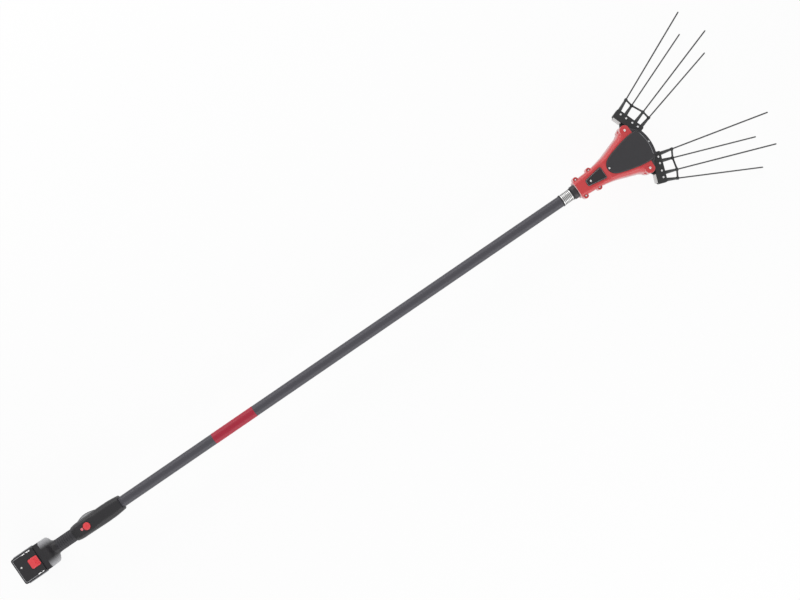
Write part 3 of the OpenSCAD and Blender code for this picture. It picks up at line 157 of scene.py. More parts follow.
def finish(name, light, dark, rough, grain, bump=0.1, metal=0.0, coat=0.0, worn=None, spread=0.06,
           stretch=(1, 1, 1), gloss=0.5, sheen=0.0, fade=None):
    """A finish: two tones in soft clouds, a grain in millimetres that moves roughness and bump, worn edges.

    fade is a painted highlight: a second colour and the two distances from the middle line between which it comes
    in."""
    made = bpy.data.materials.new(name)
    made.use_nodes = True
    tree = made.node_tree
    tree.nodes.clear()
    place = add(tree, "ShaderNodeTexCoord")
    scaled = add(tree, "ShaderNodeMapping", values={"Scale": stretch}, links={"Vector": place.outputs["Object"]})
    cloud = add(tree, "ShaderNodeTexNoise", values={"Scale": 1000 / (30 * grain), "Detail": 3},
                links={"Vector": scaled.outputs[0]})
    speck = add(tree, "ShaderNodeTexNoise", values={"Scale": 1000 / grain, "Detail": 2},
                links={"Vector": scaled.outputs[0]})
    tone = add(tree, "ShaderNodeMix", {"data_type": "RGBA"}, {6: linear(light), 7: linear(dark)},
               {0: cloud.outputs[0]})
    if fade:
        colour, fade_from, fade_to = fade
        sides = add(tree, "ShaderNodeSeparateXYZ", links={"Vector": place.outputs["Object"]})
        out = add(tree, "ShaderNodeMath", {"operation": "ABSOLUTE"}, links={0: sides.outputs["Y"]})
        share = add(tree, "ShaderNodeMapRange", {"interpolation_type": "SMOOTHSTEP"},
                    {"From Min": fade_from, "From Max": fade_to}, {"Value": out.outputs[0]})
        tone = add(tree, "ShaderNodeMix", {"data_type": "RGBA"}, {7: linear(colour)},
                   {0: share.outputs[0], 6: tone.outputs[2]})
    if worn:
        soft = add(tree, "ShaderNodeBevel", {"samples": 6}, {"Radius": 0.0008})
        real = add(tree, "ShaderNodeNewGeometry")
        match = add(tree, "ShaderNodeVectorMath", {"operation": "DOT_PRODUCT"},
                    links={0: soft.outputs[0], 1: real.outputs["Normal"]})
        edge = add(tree, "ShaderNodeMapRange", values={"From Min": 0.985, "From Max": 0.9, "To Max": 0.6},
                   links={"Value": match.outputs["Value"]})
        patchy = add(tree, "ShaderNodeMath", {"operation": "MULTIPLY"},
                     links={0: edge.outputs[0], 1: cloud.outputs[0]})
        tone = add(tree, "ShaderNodeMix", {"data_type": "RGBA"}, {7: linear(worn)},
                   {0: patchy.outputs[0], 6: tone.outputs[2]})
    rub = add(tree, "ShaderNodeMapRange", values={"To Min": rough - spread, "To Max": rough + spread},
              links={"Value": speck.outputs[0]})
    relief = add(tree, "ShaderNodeBump", values={"Strength": bump, "Distance": grain / 4000},
                 links={"Height": speck.outputs[0]})
    skin = add(tree, "ShaderNodeBsdfPrincipled",
               values={"Metallic": metal, "Coat Weight": coat, "Coat Roughness": 0.12, "Specular IOR Level": gloss,
                       "Sheen Weight": sheen, "Sheen Roughness": 0.5},
               links={"Base Color": tone.outputs[2], "Roughness": rub.outputs[0], "Normal": relief.outputs[0]})
    add(tree, "ShaderNodeOutputMaterial", links={"Surface": skin.outputs[0]})
    return made


def marked(shape, angle):
    """Smooth faces, and sharp edges past an angle in degrees."""
    for face in shape.faces:
        face.smooth = True
    for side in shape.edges:
        side.smooth = len(side.link_faces) == 2 and side.calc_face_angle(0) < math.radians(angle)


def made(name, shape, *paints, angle=35):
    """A mesh in the making as an object: doubles merged, faces outwards, and its finishes."""
    bmesh.ops.remove_doubles(shape, verts=shape.verts, dist=1e-6)
    bmesh.ops.recalc_face_normals(shape, faces=shape.faces)
    marked(shape, angle)
    mesh = bpy.data.meshes.new(name)
    shape.to_mesh(mesh)
    shape.free()
    for paint in paints:
        mesh.materials.append(paint)
    piece = bpy.data.objects.new(name, mesh)
    bpy.context.scene.collection.objects.link(piece)
    return piece


def loft(shape, rings):
    """Skins equal rings of points one after the other, and closes both ends."""
    rows = [[shape.verts.new(point) for point in ring] for ring in rings]
    for low, high in zip(rows, rows[1:]):
        for i in range(len(low)):
            shape.faces.new((low[i - 1], low[i], high[i], high[i - 1]))
    shape.faces.new(rows[0])
    shape.faces.new(rows[-1])


def turned(shape, start, axis, profile, sides=48):
    """A turned form from rows of radius and height along the axis."""
    across = axis.orthogonal().normalized()
    over = axis.cross(across).normalized()
    turn = [2 * math.pi * i / sides for i in range(sides)]
    loft(shape, [[start + axis * high + (across * math.cos(a) + over * math.sin(a)) * radius for a in turn]
                 for radius, high in profile])


def rounded_ring(centre, across, up, half_across, half_up, corner, steps=6):
    """A rectangle with round corners as a ring of points."""
    ring = []
    for quarter, (side, rise) in enumerate(((1, 1), (-1, 1), (-1, -1), (1, -1))):
        for i in range(steps + 1):
            a = math.pi / 2 * (quarter + i / steps)
            ring.append(centre + across * (side * (half_across - corner) + corner * math.cos(a))
                        + up * (rise * (half_up - corner) + corner * math.sin(a)))
    return ring


node_slot = {s["node"]: s["material_slot"] for s in frame["record"]["subparts"]}


def settle(piece, body, slot, *nodes):
    """Puts a finished piece on its body and hides the CAD nodes that it stands for; slot is not used."""
    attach(piece, body)
    if nodes:
        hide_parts(*nodes)
    return piece


x_axis, y_axis, z_axis = Vector((1, 0, 0)), Vector((0, 1, 0)), Vector((0, 0, 1))
foot_low, foot_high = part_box("foot_housing")
column_half = 0.017


def smoothed(rows, steps):
    """Rows of numbers by their first one, with rows put between them on a curve that doesn't overshoot."""
    width = [b[0] - a[0] for a, b in zip(rows, rows[1:])]
    slopes = []
    for c in range(1, len(rows[0])):
        rise = [(b[c] - a[c]) / w for a, b, w in zip(rows, rows[1:], width)]
        inner = [0 if p * q <= 0 else 2 * p * q / (p + q) for p, q in zip(rise, rise[1:])]
        slopes.append([rise[0]] + inner + [rise[-1]])
    out = []
    for i, w in enumerate(width):
        for k in range(steps):
            t = k / steps
            row = [rows[i][0] + w * t]
            for c, m in enumerate(slopes, 1):
                row.append(rows[i][c] * (1 + 2 * t) * (1 - t) ** 2 + rows[i + 1][c] * t * t * (3 - 2 * t)
                           + w * m[i] * t * (1 - t) ** 2 + w * m[i + 1] * t * t * (t - 1))
            out.append(row)
    return out + [list(rows[-1])]


# Place along the tool, half width, underside, top and corner radius of the ears as they flow into the sleeve.
ear_rows = ((-0.001, 0.0375, 0.0400, 0.1120, 0.0090), (0.002, 0.0375, 0.0430, 0.1119, 0.0095),
            (0.005, 0.0369, 0.0460, 0.1112, 0.0105), (0.008, 0.0356, 0.0485, 0.1098, 0.0120),
            (0.0105, 0.0338, 0.0502, 0.1075, 0.0130), (0.0125, 0.0314, 0.0513, 0.1046, 0.0140),
            (0.0143, 0.0286, 0.0520, 0.1008, 0.0155), (0.0158, 0.0252, 0.0525, 0.0970, 0.0170),
            (0.0176, 0.0222, 0.0528, 0.0936, 0.0180), (0.0205, 0.0199, 0.0530, 0.0910, 0.0184),
            (0.0245, 0.0187, 0.0530, 0.0897, 0.0182), (0.029, 0.0181, 0.0530, 0.0892, 0.0181))
shape = bmesh.new()
loft(shape, [rounded_ring(Vector((x, 0, (low + high) / 2)), y_axis, z_axis, half, (high - low) / 2,
                          min(corner, half, (high - low) / 2), 8)
             for x, half, low, high, corner in smoothed(ear_rows, 3)])
column_x = (foot_low.x + foot_high.x) / 2
column_depth = (foot_high.x - foot_low.x) / 2
loft(shape, [rounded_ring(Vector((column_x, 0, z)), x_axis, y_axis, column_depth - inset, column_half - inset, 0.004)
             for z, inset in ((0, 0.0012), (0.0012, 0), (axis_z, 0))])
# Satin nylon: a dark saddle round the pole with a fine spark texture, and ears painted pale grey towards their outer
# sides, a painted highlight for the light on their rounded edges.
foot_nylon_painted_highlight = finish("satin nylon with painted ear highlight", "#2c2a2d", "#272628", 0.4, 0.7, 0.12, gloss=0.3,
                     fade=("#a8a8ab", 0.014, 0.034))
settle(made("foot_moulding", shape, foot_nylon_painted_highlight), "frame", "foot_satin", "foot_housing")

# Rail plate and terminal block: a black nylon plate screwed to the back of the foot.
# Its T-shaped rail takes the battery, and the block carries the contacts.


def dressed(node, paint, edge=0.3, steps=2, angle=32, strong=None, strong_edge=1.0, extra=(), cut_x=None):
    """A CAD node's own shape, merged, with rounded edges in millimetres, larger where strong says so.

    cut_x is a place along the tool where the faces are split, so that a second finish can start there."""
    source = frame["nodes"][node]
    shape = bmesh.new()
    shape.from_mesh(source.data)
    bmesh.ops.remove_doubles(shape, verts=shape.verts, dist=2e-6)
    bmesh.ops.dissolve_limit(shape, angle_limit=math.radians(0.5), verts=shape.verts, edges=shape.edges)
    if cut_x:
        bmesh.ops.bisect_plane(shape, geom=shape.verts[:] + shape.edges[:] + shape.faces[:],
                               plane_co=(cut_x, 0, 0), plane_no=(1, 0, 0))
    marked(shape, angle)
    weight = shape.edges.layers.float.new("bevel_weight_edge")
    for side in shape.edges:
        if not side.smooth:
            side[weight] = 1.0 if strong and strong(side) else edge / strong_edge if strong else 1.0
    mesh = bpy.data.meshes.new(node + "_finished")
    shape.to_mesh(mesh)
    shape.free()
    for one in (paint, *extra):
        mesh.materials.append(one)
    piece = bpy.data.objects.new(node + "_finished", mesh)
    bpy.context.scene.collection.objects.link(piece)
    rounding = piece.modifiers.new("edges", "BEVEL")
    rounding.width = (strong_edge if strong else edge) / 1000
    rounding.segments = steps
    rounding.limit_method = "WEIGHT"
    rounding.use_clamp_overlap = False
    even = piece.modifiers.new("even", "WEIGHTED_NORMAL")
    even.keep_sharp = True
    even.weight = 80
    flat = bpy.data.meshes.new_from_object(piece.evaluated_get(bpy.context.evaluated_depsgraph_get()))
    piece.modifiers.clear()
    piece.data = flat
    return settle(piece, source["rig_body"], node_slot[node], node)


# Black nylon: near black with a fine even moulding grain and slightly rubbed edges.
black_nylon = finish("moulded black nylon", "#2d2c2f", "#282729", 0.44, 0.6, 0.2, worn="#57575b", gloss=0.3)
dressed("rail_plate", black_nylon, 0.5)
dressed("terminal_block", black_nylon)

# Battery pack: two black nylon halves screwed together round ten wrapped cells.
# The top face has a thin pale grey line along its edge, a painted highlight where light catches the rounded rim, a
# pressed-in charge lamp and a spring-loaded red release button.
pack_low = Vector(map(min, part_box("battery_tub")[0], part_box("battery_top")[0]))
pack_high = Vector(map(max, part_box("battery_tub")[1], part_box("battery_top")[1]))
pack_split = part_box("battery_top")[0].x
pack_corner, pack_edge, pack_seam = 0.006, 0.0022, 0.0004


def pack_half(outer, sign):
    """One half of the pack: a box with round edges and a fine groove at the split."""
    rows = [(pack_edge * (1 - math.sin(a)), pack_edge * (1 - math.cos(a)))
            for a in (math.pi / 2 * k / 4 for k in range(5))]
    levels = [(inset, pack_low.z + rise) for inset, rise in rows]
    levels += [(inset, pack_high.z - rise) for inset, rise in reversed(rows)]
    rings = []
    for inset, z in levels:
        half = pack_high.y - inset
        ring = [(pack_split, half - pack_seam), (pack_split + sign * pack_seam, half)]
        for side, turns in ((1, range(9)), (-1, range(8, -1, -1))):
            for k in turns:
                a = math.pi / 2 * (1 - k / 8)
                ring.append((outer - sign * (pack_corner - (pack_corner - inset) * math.cos(a)),
                             side * (pack_high.y - pack_corner + (pack_corner - inset) * math.sin(a))))
        ring += [(pack_split + sign * pack_seam, -half), (pack_split, pack_seam - half)]
        rings.append([Vector((x, y, z)) for x, y in ring])
    shape = bmesh.new()
    loft(shape, rings)
    return shape


def block(low, high):
    """A plain block as a cutter."""
    shape = bmesh.new()
    loft(shape, [[Vector((x, y, z)) for x, y in ((low[0], low[1]), (high[0], low[1]), (high[0], high[1]),
                                                 (low[0], high[1]))] for z in (low[2], high[2])])
    return made("cutter", shape)


def peg(start, axis, radius, depth, sides=32):
    """A round cutter."""
    shape = bmesh.new()
    turned(shape, start, axis, ((radius, 0), (radius, depth)), sides)
    return made("cutter", shape)


def carved(piece, *cutters, angle=35):
    """Cuts pockets and holes into a piece, and keeps its faces even."""
    for cutter in cutters:
        cutting = piece.modifiers.new("cut", "BOOLEAN")
        cutting.operation = "DIFFERENCE"
        cutting.solver = "EXACT"
        cutting.object = cutter
    flat = bpy.data.meshes.new_from_object(piece.evaluated_get(bpy.context.evaluated_depsgraph_get()))
    piece.modifiers.clear()
    shape = bmesh.new()
    shape.from_mesh(flat)
    bmesh.ops.remove_doubles(shape, verts=shape.verts, dist=1e-6)
    marked(shape, angle)
    shape.to_mesh(flat)
    shape.free()
    piece.data = flat
    even = piece.modifiers.new("even", "WEIGHTED_NORMAL")
    even.keep_sharp = True
    piece.data = bpy.data.meshes.new_from_object(piece.evaluated_get(bpy.context.evaluated_depsgraph_get()))
    piece.modifiers.clear()
    for cutter in cutters:
        bpy.data.objects.remove(cutter)
    return piece


run = 0.0004
rail_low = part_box("rail_plate")[0]
term_low, term_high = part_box("terminal_block")
release_low, release_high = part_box("release_button")
screw_low, screw_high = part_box("battery_screws")
lamp_low, lamp_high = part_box("charge_lamp")
lens_r = (lamp_high.x - lamp_low.x) / 2
lamp_place = Vector(((lamp_low.x + lamp_high.x) / 2, (lamp_low.y + lamp_high.y) / 2, lamp_low.z))
head_r, head_h = 0.0034, 0.0024
tub = made("pack_tub", pack_half(pack_low.x, -1), black_nylon)
carved(tub, peg(lamp_place, z_axis, lens_r + 0.0002, 0.01),
       *(peg(Vector((pack_low.x + head_h, y, z)), -x_axis, head_r, 0.01)
         for y in (screw_low.y + head_r - 0.0001, screw_high.y - head_r + 0.0001)
         for z in (screw_low.z + head_r - 0.0001, screw_high.z - head_r + 0.0001)))
settle(tub, "battery", "black_plastic", "battery_tub")
rail_t, rail_neck, rail_head = 0.0045, 0.020, 0.026
# Cutters reach from under the pack to above it, and the release button's pocket goes below the button.
under, above, release_well = -0.01, 0.2, 0.0038
rail_points = [v.co for v in frame["nodes"]["rail_plate"].data.vertices]
rail_top = max(p.z for p in rail_points if p.x < rail_low.x + rail_t / 2) + run
lid = made("pack_front", pack_half(pack_high.x, 1), black_nylon)
carved(lid,
       block((rail_low.x - run, -rail_head - run, under), (rail_low.x + rail_t + run, rail_head + run, rail_top)),
       block((rail_low.x, -rail_neck - run, under), (0.01, rail_neck + run, rail_top)),
       block((term_low.x - run, term_low.y - run, under), (rail_low.x + run, term_high.y + run, term_high.z + run)),
       block((release_low.x - run, release_low.y - run, release_low.z - release_well),
             (release_high.x + run, release_high.y + run, above)))
settle(lid, "battery", "black_plastic", "battery_top")
rim_in, rim_r, rim_corner, rim_stop = 0.0042, 0.0007, 0.0045, 0.008
# Satin grey ABS for the side ribs; its thin lines on the pack's top face, at the nose trim and on the neck insert
# are painted highlights.
grey_abs_and_painted_highlights = finish("satin grey ABS and painted highlights", "#a9aaad", "#a0a1a5", 0.4, 0.7, 0.12)


def grown(piece, angle=40):
    """Turns what a piece's modifiers make into its own plain mesh, smooth and facing outwards."""
    flat = bpy.data.meshes.new_from_object(piece.evaluated_get(bpy.context.evaluated_depsgraph_get()))
    piece.modifiers.clear()
    piece.data = flat
    shape = bmesh.new()
    shape.from_mesh(flat)
    bmesh.ops.recalc_face_normals(shape, faces=shape.faces)
    marked(shape, angle)
    shape.to_mesh(flat)
    shape.free()
    return piece


def rods(name, lines, paint, sides=12):
    """Round rods along lines of points with a radius each, made by Geometry Nodes as one mesh."""
    tree = bpy.data.node_groups.new("rods along lines", "GeometryNodeTree")
    tree.interface.new_socket("Geometry", in_out="INPUT", socket_type="NodeSocketGeometry")
    sides_in = tree.interface.new_socket("Sides", in_out="INPUT", socket_type="NodeSocketInt")
    paint_in = tree.interface.new_socket("Finish", in_out="INPUT", socket_type="NodeSocketMaterial")
    tree.interface.new_socket("Geometry", in_out="OUTPUT", socket_type="NodeSocketGeometry")
    given = add(tree, "NodeGroupInput")
    radius = add(tree, "GeometryNodeInputNamedAttribute", {"data_type": "FLOAT"}, {"Name": "rod_radius"})
    path = add(tree, "GeometryNodeMeshToCurve", links={"Mesh": given.outputs["Geometry"]})
    ring = add(tree, "GeometryNodeCurvePrimitiveCircle", values={"Radius": 1.0},
               links={"Resolution": given.outputs["Sides"]})
    skin = add(tree, "GeometryNodeCurveToMesh", values={"Fill Caps": True},
               links={"Curve": path.outputs[0], "Profile Curve": ring.outputs[0], "Scale": radius.outputs[0]})
    whole = add(tree, "GeometryNodeRealizeInstances", links={"Geometry": skin.outputs[0]})
    painted = add(tree, "GeometryNodeSetMaterial",
                  links={"Geometry": whole.outputs[0], "Material": given.outputs["Finish"]})
    add(tree, "NodeGroupOutput", links={0: painted.outputs[0]})
    mesh = bpy.data.meshes.new(name)
    points, thick, edges = [], [], []
    for line in lines:
        first = len(points)
        loop = (line[0][0] - line[-1][0]).length < 1e-9
        for point, r in line[:-1] if loop else line:
            points.append(point)
            thick.append(r)
        edges += [(i, i + 1) for i in range(first, len(points) - 1)]
        if loop:
            edges.append((len(points) - 1, first))
    mesh.from_pydata(points, edges, [])
    width = mesh.attributes.new("rod_radius", "FLOAT", "POINT")
    for i, r in enumerate(thick):
        width.data[i].value = r
    piece = bpy.data.objects.new(name, mesh)
    bpy.context.scene.collection.objects.link(piece)
    grow = piece.modifiers.new("rods", "NODES")
    grow.node_group = tree
    grow[sides_in.identifier] = sides
    grow[paint_in.identifier] = paint
    return grown(piece)


# The pale grey rod near the edge of the top face is a painted highlight on the pack's rounded top edge.
rim_highlight_path = [(pack_high.x - rim_stop, pack_high.y - rim_in)]
for side, turns in ((1, range(7)), (-1, range(6, -1, -1))):
    for k in turns:
        a = math.pi / 2 * (1 - k / 6)
        rim_highlight_path.append((pack_low.x + rim_in + rim_corner * (1 - math.cos(a)),
                    side * (pack_high.y - rim_in - rim_corner * (1 - math.sin(a)))))
rim_highlight_path.append((pack_high.x - rim_stop, rim_in - pack_high.y))
rim_z = pack_high.z - rim_r * 0.35
settle(rods("pack_rim", [[(Vector((x, y, rim_z)), rim_r) for x, y in rim_highlight_path]], grey_abs_and_painted_highlights), "battery", "grey_plastic")
strip_r, strip_top, strip_pitch = 0.0017, pack_high.z - 0.0065, 0.0046
strips = []
for side in (-1, 1):
    for row in range(4):
        y, z = side * (pack_high.y + 0.0007), strip_top - row * strip_pitch
        start, end = pack_low.x + 0.009, pack_high.x - 0.004
        strips.append([(Vector((start - 0.001, y, z)), strip_r * 0.4), (Vector((start, y, z)), strip_r),
                       (Vector((end, y, z)), strip_r), (Vector((end + 0.001, y, z)), strip_r * 0.4)])
settle(rods("pack_side_ribs", strips, grey_abs_and_painted_highlights), "battery", "grey_plastic")
# Cells in shrink wrap: glossy blue film over steel cans.
wrap = finish("shrink wrap", "#3f7fb0", "#3a75a4", 0.3, 0.8, 0.05, coat=0.3)
dressed("battery_cells", wrap, 0.4)
# Zinc plated steel: bright and slightly cloudy, with a fine rolled grain.
zinc = finish("zinc plated steel", "#e4e4e3", "#d6d6d7", 0.26, 0.4, 0.1, metal=0.9)
coil = dressed("release_spring", zinc, 0.05)
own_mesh(coil)
latch_r, latch_in = 0.0013, 0.0052
latches = []
for side, start, end in ((1, -0.050, -0.041), (1, -0.037, -0.024), (-1, -0.040, -0.031), (-1, -0.028, -0.0215)):
    y, z = side * (pack_high.y - latch_in), pack_high.z - 0.0003
    latches.append([(Vector((start, y, z)), latch_r * 0.3), (Vector((start + 0.001, y, z)), latch_r),
                    (Vector((end - 0.001, y, z)), latch_r), (Vector((end, y, z)), latch_r * 0.3)])
settle(rods("pack_latch_springs", latches, zinc), "battery", "steel")
shape = bmesh.new()
lamp_tall = lamp_high.z - lamp_low.z
turned(shape, lamp_place, z_axis, [(lens_r, 0), (lens_r, lamp_tall - 0.0003)]
       + [(lens_r * 0.95 * math.cos(a), lamp_tall + 0.0009 * math.sin(a)) for a in (0.2, 0.6, 1.0, 1.4)], 32)
# Clear acrylic: a pale milky lens with a sharp highlight.
lens_clear = finish("clear acrylic lens", "#f2f2ee", "#ecece6", 0.12, 0.8, 0.02, coat=0.6)
settle(made("charge_lens", shape, lens_clear), "battery", "lamp_clear", "charge_lamp")
# Red ABS of the buttons: bright and satin, with a fine grain.
red_button_abs = finish("bright red ABS", "#f4474e", "#ee424a", 0.33, 0.8, 0.05, coat=0.15)
dressed("release_button", red_button_abs, 0.3, 3, strong_edge=1.4,
        strong=lambda side: min(v.co.z for v in side.verts) > release_high.z - 0.0021
        and max(abs(v.co.y) for v in side.verts) > release_high.y - 0.0045)

# Pole and power lead: a drawn aluminium tube, anodised dark grey, from the foot to the head.
# The black lead from the battery runs through it to the control board.
# Anodised tube: satin, with faint lines along its length from drawing.
tube_paint = finish("dark anodised tube", "#525157", "#4a494f", 0.42, 0.8, 0.1, metal=0.12, gloss=0.28,
                    stretch=(0.04, 1, 1))
dressed("pole", tube_paint)
sheath = finish("lead sheath", "#1c1c1e", "#18181a", 0.55, 0.5, 0.1)
dressed("power_lead", sheath)

# Label band: a bare red vinyl wrap glued round the pole.
# Satin film, in two soft tones that vary at random.
vinyl = finish("red vinyl", "#b0293f", "#a8253b", 0.42, 0.8, 0.03, gloss=0.3)
dressed("label_band", vinyl, 0.1)

# Handle sleeve: a black rubber tube with fine rings moulded round it, pushed on from the foot.
# Rubber is matt and a little dusty, and its rings catch the light in thin lines.
rubber = finish("ribbed black rubber", "#3a393d", "#343337", 0.6, 0.8, 0.25, gloss=0.35)
dressed("handle_sleeve", rubber, 0.2)

# Switch grip: two black nylon halves screwed together round the pole.
# A hollow under the deck holds the switch and the spring of the push button.
for half in ("grip_upper", "grip_lower"):
    dressed(half, black_nylon, 0.4)
dressed("switch_module", black_nylon)
dressed("button_spring", zinc, 0.1)

# Push button, status lamp and side lever: red ABS cap, pale red lens and grey lever on a steel pin.
# The cap is guided in the deck's hole, and the lever swings into the grip's side.
cap_low, cap_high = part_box("push_button")
cap_middle = Vector(((cap_low.x + cap_high.x) / 2, (cap_low.y + cap_high.y) / 2, cap_low.z))
flange_r, cap_r, cap_h = (cap_high.x - cap_low.x) / 2, 0.010, cap_high.z - cap_low.z
shape = bmesh.new()
turned(shape, cap_middle, z_axis,
       ((flange_r, 0), (flange_r, 0.0012), (cap_r, 0.0013), (cap_r, cap_h - 0.0012), (cap_r * 0.97, cap_h - 0.0005),
        (cap_r * 0.91, cap_h - 0.0001), (cap_r * 0.84, cap_h), (cap_r * 0.72, cap_h - 0.0004),
        (cap_r * 0.5, cap_h - 0.0010), (cap_r * 0.28, cap_h - 0.0013), (cap_r * 0.2, cap_h - 0.0014),
        (cap_r * 0.17, cap_h - 0.0020), (cap_r * 0.05, cap_h - 0.0021)), 64)
settle(made("push_cap", shape, red_button_abs), "push_button", "red_button", "push_button")
deck_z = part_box("grip_upper")[1].z
bezel_r = cap_r + 0.0013
bezel = [(cap_middle.x + bezel_r * math.cos(a), bezel_r * math.sin(a)) for a in
         (2 * math.pi * i / 48 for i in range(49))]
# Polished black nylon for the button's bezel, also used for the painted gap shadow round the head cover.
gloss_black_and_gap_shadow = finish("polished black nylon and painted gap shadow", "#1c1b1d", "#19181a", 0.22, 0.8, 0.03)
settle(rods("button_bezel", [[(Vector((x, y, deck_z)), 0.0007) for x, y in bezel]], gloss_black_and_gap_shadow, 8),
       "frame", "black_plastic")
eye_low, eye_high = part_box("status_lamp")
eye_r, eye_h = (eye_high.x - eye_low.x) / 2, eye_high.z - eye_low.z
shape = bmesh.new()
turned(shape, Vector(((eye_low.x + eye_high.x) / 2, (eye_low.y + eye_high.y) / 2, eye_low.z)), z_axis,
       [(eye_r, 0), (eye_r, eye_h - 0.0003)]
       + [(eye_r * 0.96 * math.cos(a), eye_h + 0.0012 * math.sin(a)) for a in (0.15, 0.5, 0.9, 1.25, 1.5)], 40)
lens_red = finish("pale red lens", "#ef7d84", "#e8757d", 0.15, 0.8, 0.02, coat=0.5)
settle(made("status_lens", shape, lens_red), "frame", "lamp_red", "status_lamp")
lever_grey = finish("pale grey ABS", "#c4c5c7", "#bbbcbf", 0.36, 0.7, 0.1, coat=0.2)
lever = dressed("side_lever", lever_grey, 0.8, 3, extra=(rubber,))
lever_low, lever_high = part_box("side_lever")
for face in lever.data.polygons:
    if face.normal.y > 0.3 and face.center.y > lever_low.y + 0.4 * (lever_high.y - lever_low.y):
        face.material_index = 1
bow = {}
for vert in frame["nodes"]["side_lever"].data.vertices:
    place = round(vert.co.x, 4)
    bow[place] = max(bow.get(place, 0), vert.co.y)
bow = [(x, y) for x, y in sorted(bow.items()) if y > lever_low.y + 0.45 * (lever_high.y - lever_low.y)]
edge_r, edge_in, edge_down = 0.0009, 0.0003, 0.0008
edge_line = [(Vector((x, y - edge_in, lever_high.z - edge_down)), edge_r) for x, y in bow]
settle(rods("lever_edge", [edge_line], rubber, 10), "side_lever", "handle_rubber")
dressed("lever_hinge_pin", zinc)

# Ferrule and collar: a turned aluminium ring with grooves, between two black rings, and a dark cone.
# They are pressed on the pole and lead it into the head's neck.
# Turned aluminium: bright, with fine rings from the lathe.
aluminium = finish("turned aluminium", "#cfcfce", "#bdbdbc", 0.28, 0.3, 0.15, metal=0.85, stretch=(1, 0.02, 0.02))
# The faces inside the ring's grooves are given a darker colour.
groove_tone = finish("darker groove faces", "#3a3a3b", "#2f2f30", 0.6, 0.4, 0.1, gloss=0.3)
ring = dressed("ferrule", aluminium, 0.1, extra=(groove_tone,))
ferrule_r = (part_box("ferrule")[1].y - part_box("ferrule")[0].y) / 2
for face in ring.data.polygons:
    if 0.0152 < math.hypot(face.center.y, face.center.z - axis_z) < ferrule_r - 0.0002:
        face.material_index = 1
dressed("ferrule_rings", black_nylon, 0.2)
# Satin dark ABS whose rubbed edges are painted lighter: wear, and on the head cover and nose trim also a painted
# highlight along their edges.
cover_abs = finish("satin dark ABS", "#3a393c", "#353437", 0.38, 0.6, 0.12, worn="#717175", gloss=0.32)
dressed("pole_collar", cover_abs, 0.4)

# Head shells: two red ABS shells that meet on the middle plane and are held by screws from below.
# Their mouths let the rakes swing, their shoulders carry the pivots, and the lip over each mouth is dark ABS.
# Glossy ABS: even red, with a soft sheen on its flanks.
red_abs = finish("glossy red ABS", "#d53539", "#ce3035", 0.3, 2.0, 0.0, spread=0.01, gloss=0.4, sheen=1.0)
# How far the flanks flare at the split, by place along the head, and the shell's half width there.
flare_rows = [(0.070, 0.0, 0.029), (0.092, 0.0012, 0.0326), (0.106, 0.0022, 0.0355), (0.131, 0.0044, 0.0429),
              (0.159, 0.0050, 0.0514), (0.170, 0.0036, 0.0599), (0.178, 0.0, 0.066)]
flare_power, flare_from, flare_blend = 0.7, 0.6, 0.25
guard_along, guard_side, guard_rise = 0.1985, 0.034, 0.012
for half in ("upper_shell", "lower_shell"):
    shell_low, shell_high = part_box(half)
    guard_x = shell_low.x + guard_along
    shell = dressed(half, red_abs, 0.6, 3, extra=(cover_abs,), cut_x=guard_x if half == "upper_shell" else None)
    for face in shell.data.polygons:
        beside = abs(face.center.y) > guard_side or face.normal.z > 0.9
        if face.center.x > guard_x and beside and face.center.z > axis_z + guard_rise:
            face.material_index = 1
    for vert in shell.data.vertices:
        place = vert.co.x - shell_low.x
        for (from_x, from_f, from_w), (to_x, to_f, to_w) in zip(flare_rows, flare_rows[1:]):
            if from_x < place <= to_x:
                share = (place - from_x) / (to_x - from_x)
                width = from_w + (to_w - from_w) * share
                level = 1 - abs(vert.co.z - axis_z) / (shell_high.z - shell_low.z)
                inward = min(max((abs(vert.co.y) / width - flare_from) / flare_blend, 0), 1)
                flare = (from_f + (to_f - from_f) * share) * max(level, 0) ** flare_power * inward
                vert.co.y += math.copysign(flare, vert.co.y)

# Drive: a brushed motor and its pinion turn a crank gear, whose pin pulls the rod to the left rake.
# Steel gears, an aluminium plate and rod, bronze bushes and a green control board.
winding = finish("varnished winding", "#7a4a2a", "#6a3f22", 0.4, 0.4, 0.3)
dressed("motor_stator", winding)
board = finish("green board", "#2f6b3f", "#2a6038", 0.4, 0.8, 0.1)
dressed("control_board", board, 0.1)
for part in ("motor_rotor", "drive_pinion", "crank_gear", "crank_shaft", "crank_bearings", "crank_pin",
             "lever_pin", "pivot_shafts"):
    dressed(part, zinc, 0.2)
for part in ("gear_plate", "drive_rod"):
    dressed(part, aluminium)
bronze = finish("sintered bronze", "#b08d4a", "#a48142", 0.45, 0.3, 0.2, metal=0.8)
for part in ("rake_bushes_left", "rake_bushes_right"):
    dressed(part, bronze, 0.2)

# Rake arms: black cast arms on the pivots, with a bare machined strip behind each carrier.
# Cast aluminium painted black keeps a fine orange-peel skin. The rear of each hub is slim, for the cheeks.
arm_black = finish("black painted casting", "#2d2e30", "#28292b", 0.45, 0.9, 0.2, worn="#6c6d70", gloss=0.3)
pivot_x = (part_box("rake_bushes_left")[0].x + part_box("rake_bushes_left")[1].x) / 2
pivot_y = (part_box("rake_bushes_left")[0].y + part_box("rake_bushes_left")[1].y) / 2
splay, strip_back, strip_t = math.radians(20), 0.0165, 0.0048
strip_side, strip_half = 0.0295, 0.0115
hub_r, hub_rear_r, rim_least, rim_most = 0.0165, 0.0112, 0.010, 0.0172
